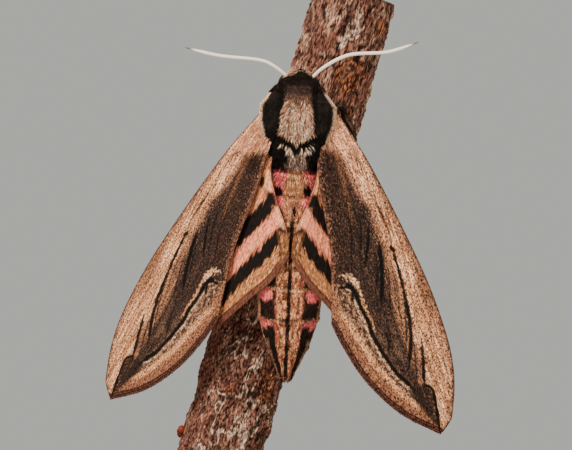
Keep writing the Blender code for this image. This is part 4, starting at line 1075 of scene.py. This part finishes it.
def body_lie(local, rng):
    """The lie of the coat: backwards, parting on the head and sweeping in towards the back's tufts."""
    x, y, z = local.T
    lie = np.zeros_like(local)
    lie[:, 2] = -1
    disc = ramp(np.abs(x), 2.9, 2.4) * ramp(z, -4.4, -3) * ramp(z, 5.5, 4)
    swirl = rough_grain(local, (1.3, 1.3, 1.6), 82, 2)
    lie[:, 0] = np.where(z > -7, 0.35 * x * disc + 0.9 * swirl * disc, 0.04 * x)
    lie[:, 0] += np.where((z < -3) & (z > -7), 0.25 * x / 3, 0)
    lie += rng.normal(0, 1, local.shape) * np.where(z > -7, 0.18, 0.1)[:, None]
    return lie


def make_coat(part, rng):
    """The locks of one region of the body."""
    count, long, wide, lift, (below, above) = COAT_PIECES[part]

    def keep(points):
        z = from_world(points)[:, 2]
        return ((z > below) & (z < above)).astype(float)

    roots, normals = surface_spots(skin, count, rng, keep)
    local = from_world(roots)
    x, y, z = local.T
    lies = body_lie(local, rng)
    lengths = long * (0.75 + 0.5 * rng.random(count))
    if part == "thorax":
        flap, flank = ramp(np.abs(x), 2.5, 2.9) * ramp(z, -5, -3), ramp(y, 0, 1.5)
        lengths *= (1 - 0.55 * flap) * (1 - 0.4 * ramp(z, 2.5, 5))
        lengths *= (1 + 0.15 * near(z, -5.5, 2, 0.5) * (1 - flap)) * (1 + 0.35 * flank)
        lift = lift * (1 - 0.5 * flap) + 0.18 * flank
    if part == "abdomen":
        lengths *= 1 + 1.1 * ramp(z, -35, -38.5) + 0.8 * ramp(z, -11, -8)
        rings = np.min([np.abs(z - end - 0.4) for end in RING_ENDS[1:-1]], axis=0)
        lift = lift + 0.35 * ramp(z, -11, -8) + 0.25 * ramp(rings, 0.6, 0.2)
    lifts = lift * (0.6 + 0.8 * rng.random(count))
    # Each lock takes the colour of the place that its tip covers
    ahead = lies / np.linalg.norm(lies, axis=1)[:, None] * lengths[:, None]
    colours = body_tint(local + ahead * 0.55)
    strand, pale = rng.random(count), ramp(colours.mean(axis=1), 0.08, 0.2) * ramp(z, -5.6, -4.8)
    colours = washed(colours, (FUR_WHITE, (strand > 0.64) * pale * 0.85),
                     ((44, 33, 29), (strand < 0.26) * pale * ramp(y, 0.5, -1) * 0.6))
    widths = wide * (0.7 + 0.6 * rng.random(count))
    return locks("coat_" + part, roots - normals * LOCK_LIFT, normals, lies @ BODY[:3, :3].T,
                 lengths * MM, widths * MM, lifts, colours, body_unwrap(local), rng)


coat_material = speckled_material("coat", (0.1 * MM, 0.1 * MM, 0.4 * MM), 0.25, 8, 0.85, 0.2, "object")
coat_rng = np.random.default_rng(11)
for part, slot_name in (("thorax", "grey_fur"), ("head", "grey_fur"), ("abdomen", "brown_scales")):
    coat = make_coat(part, coat_rng)
    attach(coat, "root")


def on_wing(name, side, u, v):
    """World places on the middle of a wing, from places on its drawing."""
    return to_world(wing_places(name, side, u, v))


def wing_unwrap(u, v):
    """Where a place on a wing's drawing lies on the wing's own unwrap."""
    return np.stack([u / 60 + 0.1, (v + 12) / 24], -1)


def heading(at, step, lengths, line):
    """The way that a line of flat points runs, at lengths along it."""
    after, before = (np.stack([np.interp(at + s, lengths, line[:, i]) for i in (0, 1)], -1)
                     for s in (step, -step))
    return (after - before) / np.linalg.norm(after - before, axis=1)[:, None]


def make_fringe(name, side, rng):
    """A row of flat scales that stand out past the wing's outer and inner edges."""
    plan = WING_PLANS[name.split("_")[0]]
    _, termen, inner, _ = plan["lines"]
    edge = np.vstack([curve_through(termen), curve_through(inner[:4])[1:]])
    steps = np.concatenate([[0], np.cumsum(np.hypot(*np.diff(edge, axis=0).T))])
    count = int(steps[-1] / FRINGE_STEP)
    at = np.sort(rng.random(count)) * steps[-1]
    u, v = np.interp(at, steps, edge[:, 0]), np.interp(at, steps, edge[:, 1])
    ahead = heading(at, 0.3, steps, edge)
    out = np.stack([-ahead[:, 1], ahead[:, 0]], -1)
    out *= np.sign(out @ np.array([0.3, -1]))[:, None]
    out += rng.normal(0, 0.12, (count, 2)) + ahead * -0.2
    roots = on_wing(name, side, u - out[:, 0] * FRINGE_ROOT, v - out[:, 1] * FRINGE_ROOT)
    lies = on_wing(name, side, u + out[:, 0] * 0.1, v + out[:, 1] * 0.1) - roots
    tint = washed(plan["fringe"], (FRINGE_PALE, rng.random(count) * 0.5))
    lengths = (0.44 + 0.12 * rng.random(count)) * MM
    return locks(name + "_fringe", roots, np.tile(-BODY[:3, 1], (count, 1)), lies, lengths,
                 np.full(count, FRINGE_WIDTH), np.full(count, FRINGE_LIFT), tint, wing_unwrap(u, v), rng)


def make_wing_hair(name, side, rng):
    """Long hairs that lie over a forewing's root, or along the fold of a hindwing beside the body."""
    fore, plan = name.startswith("forewing"), WING_PLANS[name.split("_")[0]]
    count = plan["hairs"] // 1
    at = rng.random(count)
    if fore:
        u = 0.2 + 6.5 * at**1.3
        low = np.interp(u, [0, 4, 9.9], [-4, -4.5, -5.9]) + 0.5
        high = np.interp(u, [0.3, 8.8], [0.6, 2.8]) - 0.35
        v = low + (high - low) * rng.random(count)
        ahead = np.tile([1, 0.12], (count, 1))
    else:
        fold = curve_through(HIND_INNER)[::-1]
        reach = np.linspace(0, 1, len(fold))
        at = 0.12 + 0.8 * at
        ahead = heading(at, 0.02, reach, fold)
        inward = 0.15 + 1.6 * rng.random(count) ** 1.3
        u = np.interp(at, reach, fold[:, 0]) - ahead[:, 1] * inward
        v = np.interp(at, reach, fold[:, 1]) + ahead[:, 0] * inward
    ahead = ahead + rng.normal(0, 0.1, (count, 2))
    lengths = (1 + 0.7 * rng.random(count)) * (1 if fore else 0.9)
    roots = on_wing(name, side, u, v)
    outward = np.tile(-BODY[:3, 1], (count, 1))
    lies = on_wing(name, side, u + ahead[:, 0], v + ahead[:, 1]) - roots
    tint, _ = plan["tint"](u + 0.6 * ahead[:, 0], v + 0.6 * ahead[:, 1], v - 3, v + 3)
    tint = tint * 1.9 / (1 + 1.1 * tint.max(axis=1))[:, None]
    return locks(name + "_hair", roots + outward * MEMBRANE * 0.7, outward, lies, lengths * MM,
                 np.full(count, HAIR_WIDTH), 0.05 + 0.08 * rng.random(count), tint, wing_unwrap(u, v), rng)


for pair, plan in WING_PLANS.items():
    for word, side in SIDES.items():
        for make in (make_fringe, make_wing_hair):
            fringe = make(pair + "_" + word, side, coat_rng)
            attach(fringe, "root")


# Eyes
# Two dark, glossy compound eyes of fine six-sided facets over a soft brown depth. Each is a finer copy
# of the part's own solid, set in the head's side.
FACET_SIZE = 0.07 * MM
EYE_BROWN, EYE_BLACK = (0.06, 0.032, 0.02), (0.01, 0.006, 0.005)


def finer_copy(name, part, levels, rounds=2):
    """A smooth, finer copy of a CAD node."""
    made = placed(name, mesh_of(name, cad_copy([part])))
    finer = made.modifiers.new("finer", "SUBSURF")
    finer.levels = finer.render_levels = levels
    made.modifiers.new("ease", "SMOOTH").iterations = rounds
    return finish_modifiers(made)


def two_tone(tree, value, low, high, stops=(0, 1)):
    """A colour that goes from one tone to another as a value grows."""
    tone = node(tree, "ShaderNodeValToRGB", {"Fac": value})
    for stop, colour, at in zip(tone.node.color_ramp.elements, (low, high), stops):
        stop.color, stop.position = (*colour, 1), at
    return tone


def facet_material():
    """Fine six-sided facets over a dark brown depth."""
    made, shader = plain_material("eye_facets", (0.02, 0.012, 0.008), 0.36)
    tree = made.node_tree
    cells = node(tree, "ShaderNodeTexVoronoi", {"Vector": on_object(tree), "Scale": 1 / FACET_SIZE})
    edges = {"Strength": 0.1, "Distance": 0.02 * MM, "Height": cells}
    wire(shader, {"Base Color": two_tone(tree, cells, EYE_BROWN, EYE_BLACK),
                  "Normal": node(tree, "ShaderNodeBump", edges, invert=True),
                  "Specular IOR Level": 0.22, "Coat Weight": 0.05, "Coat Roughness": 0.1})
    return made


eye_material = facet_material()
for word in SIDES:
    eye = finer_copy("eye_" + word + "_facets", "eye_" + word, 2)
    eye.data.materials.append(eye_material)
    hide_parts("eye_" + word)
    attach(eye, "root")


# Antennae
# Long, slightly thickened rods of many short joints, white above and brown below, each ending in a
# fine hooked tip. Each is a ring swept along the part's own curve, which swells once in each joint.
ANTENNA_KNOTS = {
    "left": [(-1.4, 0.9, 7.2), (-3.9, 0.5, 9), (-6.4, 0.3, 9.9), (-12.6, 0, 10.3), (-17.9, -0.2, 11.3)],
    "right": [(1.7, 0.9, 7.2), (3.9, 0.5, 9.3), (7.7, 0.3, 11.3), (13.6, 0, 12), (18.3, -0.2, 13.7)],
}
ANTENNA_JOINTS = 46
ANTENNA_SIZES = {"Radius": 0.27 * MM, "Tip radius": 0.06 * MM, "Waist": 0.07, "Joints": ANTENNA_JOINTS,
                 "Sides": 14}
ANTENNA_RINGS = 8  # rings of points to each joint
ANTENNA_WHITE = (255, 238, 230)


def antenna_tree(material):
    """The nodes that sweep a ring along a line."""
    tree = bpy.data.node_groups.new("antenna_tube", "GeometryNodeTree")
    tree.interface.new_socket("Line", in_out="INPUT", socket_type="NodeSocketGeometry")
    for label, size in ANTENNA_SIZES.items():
        kind = "NodeSocketInt" if isinstance(size, int) else "NodeSocketFloat"
        tree.interface.new_socket(label, in_out="INPUT", socket_type=kind)
    tree.interface.new_socket("Tube", in_out="OUTPUT", socket_type="NodeSocketGeometry")
    sizes = tree.nodes.new("NodeGroupInput").outputs

    def step(kind, **values):
        values = {key.replace("_", " "): value for key, value in values.items()}
        return node(tree, "GeometryNode" + kind, values)

    def sum_of(operation, *values):
        return node(tree, "ShaderNodeMath", dict(enumerate(values)), operation=operation)

    line = step("MeshToCurve", Mesh=sizes["Line"])
    even = step("ResampleCurve", Curve=line, Count=sum_of("MULTIPLY", sizes["Joints"], float(ANTENNA_RINGS)))
    along = step("SplineParameter")
    kept = step("StoreNamedAttribute", Geometry=even, Name="along", Value=along)
    fuller = sum_of("MINIMUM", sum_of("MULTIPLY_ADD", along, 0.55, 0.89), 1)
    stout = sum_of("MULTIPLY", sizes["Radius"], fuller)
    thinned = node(tree, "ShaderNodeMapRange", {"Value": along, "From Min": 0.84, "To Min": stout,
                                                "To Max": sizes["Tip radius"]})
    wave = sum_of("SINE", sum_of("MULTIPLY", sum_of("MULTIPLY", along, sizes["Joints"]), math.pi))
    narrow = sum_of("SUBTRACT", 1, sum_of("POWER", sum_of("ABSOLUTE", wave), 0.5))
    swell = sum_of("MULTIPLY", narrow, sizes["Waist"])
    ring = step("CurvePrimitiveCircle", Resolution=sizes["Sides"], Radius=1)
    radius = sum_of("MULTIPLY", thinned, sum_of("SUBTRACT", 1, swell))
    tube = step("CurveToMesh", Curve=kept, Profile_Curve=ring, Scale=radius, Fill_Caps=True)
    smooth = step("RealizeInstances", Geometry=step("SetShadeSmooth", Geometry=tube))
    wire(tree.nodes.new("NodeGroupOutput"), {0: step("SetMaterial", Geometry=smooth, Material=material)})
    return tree


def antenna_tube(word, tree):
    """One antenna, with its colours."""
    line = to_world(curve_through(ANTENNA_KNOTS[word], 24) * MM)
    path = bpy.data.meshes.new("antenna_line")
    path.from_pydata(line.tolist(), [(i, i + 1) for i in range(len(line) - 1)], [])
    made = placed("antenna_" + word + "_joints", path)
    sweep = made.modifiers.new("sweep", "NODES")
    sweep.node_group = tree
    for item in tree.interface.items_tree:
        if item.name in ANTENNA_SIZES:
            sweep[item.identifier] = ANTENNA_SIZES[item.name]
    tube = finish_modifiers(made).data
    along = read(tube.attributes["along"].data, "value", 1)[:, 0]
    tube.attributes.remove(tube.attributes["along"])
    above = -read(tube.vertex_normals, "vector", 3)[:, 1]
    rings = np.sin(along * ANTENNA_JOINTS * math.pi) ** 2
    paint(made, washed(ANTENNA_WHITE,
                       ((214, 182, 170), ramp(rings, 0.25, 0) * 0.5),
                       ((134, 92, 70), ramp(above, -0.1, -0.5) * 0.85),
                       ((70, 50, 42), ramp(along, 0.9, 0.97) * 0.9)))
    return made


antenna_scales = speckled_material("antenna", (0.08 * MM,) * 3, 0.12, 3, 0.6, 0.2, "object", 0.02 * MM)
antenna_nodes = antenna_tree(antenna_scales)
for word in SIDES:
    antenna = antenna_tube(word, antenna_nodes)
    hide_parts("antenna_" + word)
    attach(antenna, "root")


# Palps, tongue and legs
# Scale-clad mouth palps either side of a rolled brown tongue, and six legs in short dark fur with pale
# joints, gripping the bark. Each follows the part's own solid, made finer, and the palps and legs have
# their own short locks.
LEG_NAMES = [pair + "_" + word for pair in ("foreleg", "midleg", "hindleg") for word in SIDES]
LEG_COLOURS = (44, 35, 32), (150, 122, 106)
PALP_COLOURS = (190, 160, 148), (112, 84, 76)
TONGUE_COLOURS = (84, 52, 38), (112, 76, 56)
LIMB_PATCH, TONGUE_PATCH = 0.9 * MM, 0.5 * MM
LIMB_LOCKS, QUICK_LIMB_LOCKS, LIMB_LOCK_WIDTH, LIMB_LOCK_LIFT = 900, 260, 0.1 * MM, 0.3


def limb_shade(places, size, colour, patch_colour):
    """One colour with patches of another, at places on a limb."""
    return washed(colour, (patch_colour, ramp(rough_grain(places, size, 90, 3), 0.05, 0.4) * 0.6))


def limb_piece(name, size, colour, patch_colour, material):
    """A finer copy of one CAD node, tinted, with patches."""
    made = finer_copy(name + "_skin", name, 1, 1)
    paint(made, limb_shade(vertex_places(made), size, colour, patch_colour))
    made.data.materials.append(material)
    return made


def make_limb_coat(limb, leg, piece, colours, rng):
    """The short locks on one leg or palp. They are longer close to the body."""
    count = LIMB_LOCKS
    roots, normals = surface_spots(piece, count, rng, lambda places: np.ones(len(places)))
    away = roots - np.array(THORAX_PLACE)
    lies = away + np.array(STEM_AHEAD) * -4 * MM if leg else np.tile([0, 0.2, 1], (count, 1))
    lies = lies / np.linalg.norm(lies, axis=1)[:, None] + rng.normal(0, 0.15, (count, 3))
    near_body = ramp(np.linalg.norm(away, axis=1), 15 * MM, 8 * MM)
    lengths = (0.22 + 0.3 * near_body) * (0.7 + 0.6 * rng.random(count)) * MM
    low, high = (np.array(corner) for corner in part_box(limb))
    unwrap = 0.02 + 0.95 * ((roots - low) / (high - low + 1e-9))[:, [1, 2]]
    return locks(limb + "_coat", roots, normals, lies, lengths, np.full(count, LIMB_LOCK_WIDTH),
                 np.full(count, LIMB_LOCK_LIFT), limb_shade(roots, LIMB_PATCH, *colours), unwrap, rng)


limb_material = speckled_material("limb_scales", (0.12 * MM,) * 3, 0.35, 5, 0.85, 0.5, "object", 0.06 * MM)
tongue_material = speckled_material("tongue", (0.2 * MM,) * 3, 0.2, 5, 0.35, 0.2, "object", 0.03 * MM)
limb_rng = np.random.default_rng(23)
for limb in LEG_NAMES + ["palp_left", "palp_right"]:
    leg = limb in LEG_NAMES
    colours, slot_name = (LEG_COLOURS, "black_fur") if leg else (PALP_COLOURS, "pale_scales")
    piece = limb_piece(limb, LIMB_PATCH, *colours, limb_material)
    fur = make_limb_coat(limb, leg, piece, colours, limb_rng)
    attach(fur, "root")
    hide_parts(limb)
    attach(piece, "root")

tongue = limb_piece("proboscis", TONGUE_PATCH, *TONGUE_COLOURS, tongue_material)
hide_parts("proboscis")
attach(tongue, "root")


# Stand
# A flat oiled hardwood base with rounded corners and one brass rod up to the stem's lower cut. The
# part's own solids stay, with grain along the base and fine brushing round the rod.


def grained_material(name, colour, roughness, stretch, detail, *tones):
    """Grain or brushing: noise that is stretched one way, between two tones."""
    made, shader = plain_material(name, colour, roughness)
    tree = made.node_tree
    fit = node(tree, "ShaderNodeMapping", {"Vector": on_object(tree), "Scale": stretch})
    grains = node(tree, "ShaderNodeTexNoise", {"Vector": fit, "Scale": 1, "Detail": detail})
    wire(shader, {"Base Color": two_tone(tree, grains, *tones)})
    return made, shader, grains


def wood_material():
    """Long dark grain with fine pores."""
    made, shader, grains = grained_material("base_wood", (0.13, 0.08, 0.05), 0.42, (30, 640, 640), 6,
                                            (0.05, 0.026, 0.015), (0.19, 0.105, 0.06), (0.35, 0.66))
    pores = {"Strength": 0.15, "Distance": 0.05 * MM, "Height": grains}
    wire(shader, {"Normal": node(made.node_tree, "ShaderNodeBump", pores)})
    return made


def brass_material():
    """Satin brass, brushed round the rod."""
    made, shader, _ = grained_material("brass_rod", (0.62, 0.42, 0.17), 0.3, (400, 400, 9000), 2,
                                       (0.5, 0.33, 0.12), (0.72, 0.52, 0.24))
    wire(shader, {"Metallic": 1})
    return made


for solid, material in (("stand_base", wood_material()), ("stand_rod", brass_material())):
    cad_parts[solid].data.materials.clear()
    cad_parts[solid].data.materials.append(material)

# The meshes that were only used on the way are left out
for helper in list(bpy.data.meshes):
    if not helper.users:
        bpy.data.meshes.remove(helper)
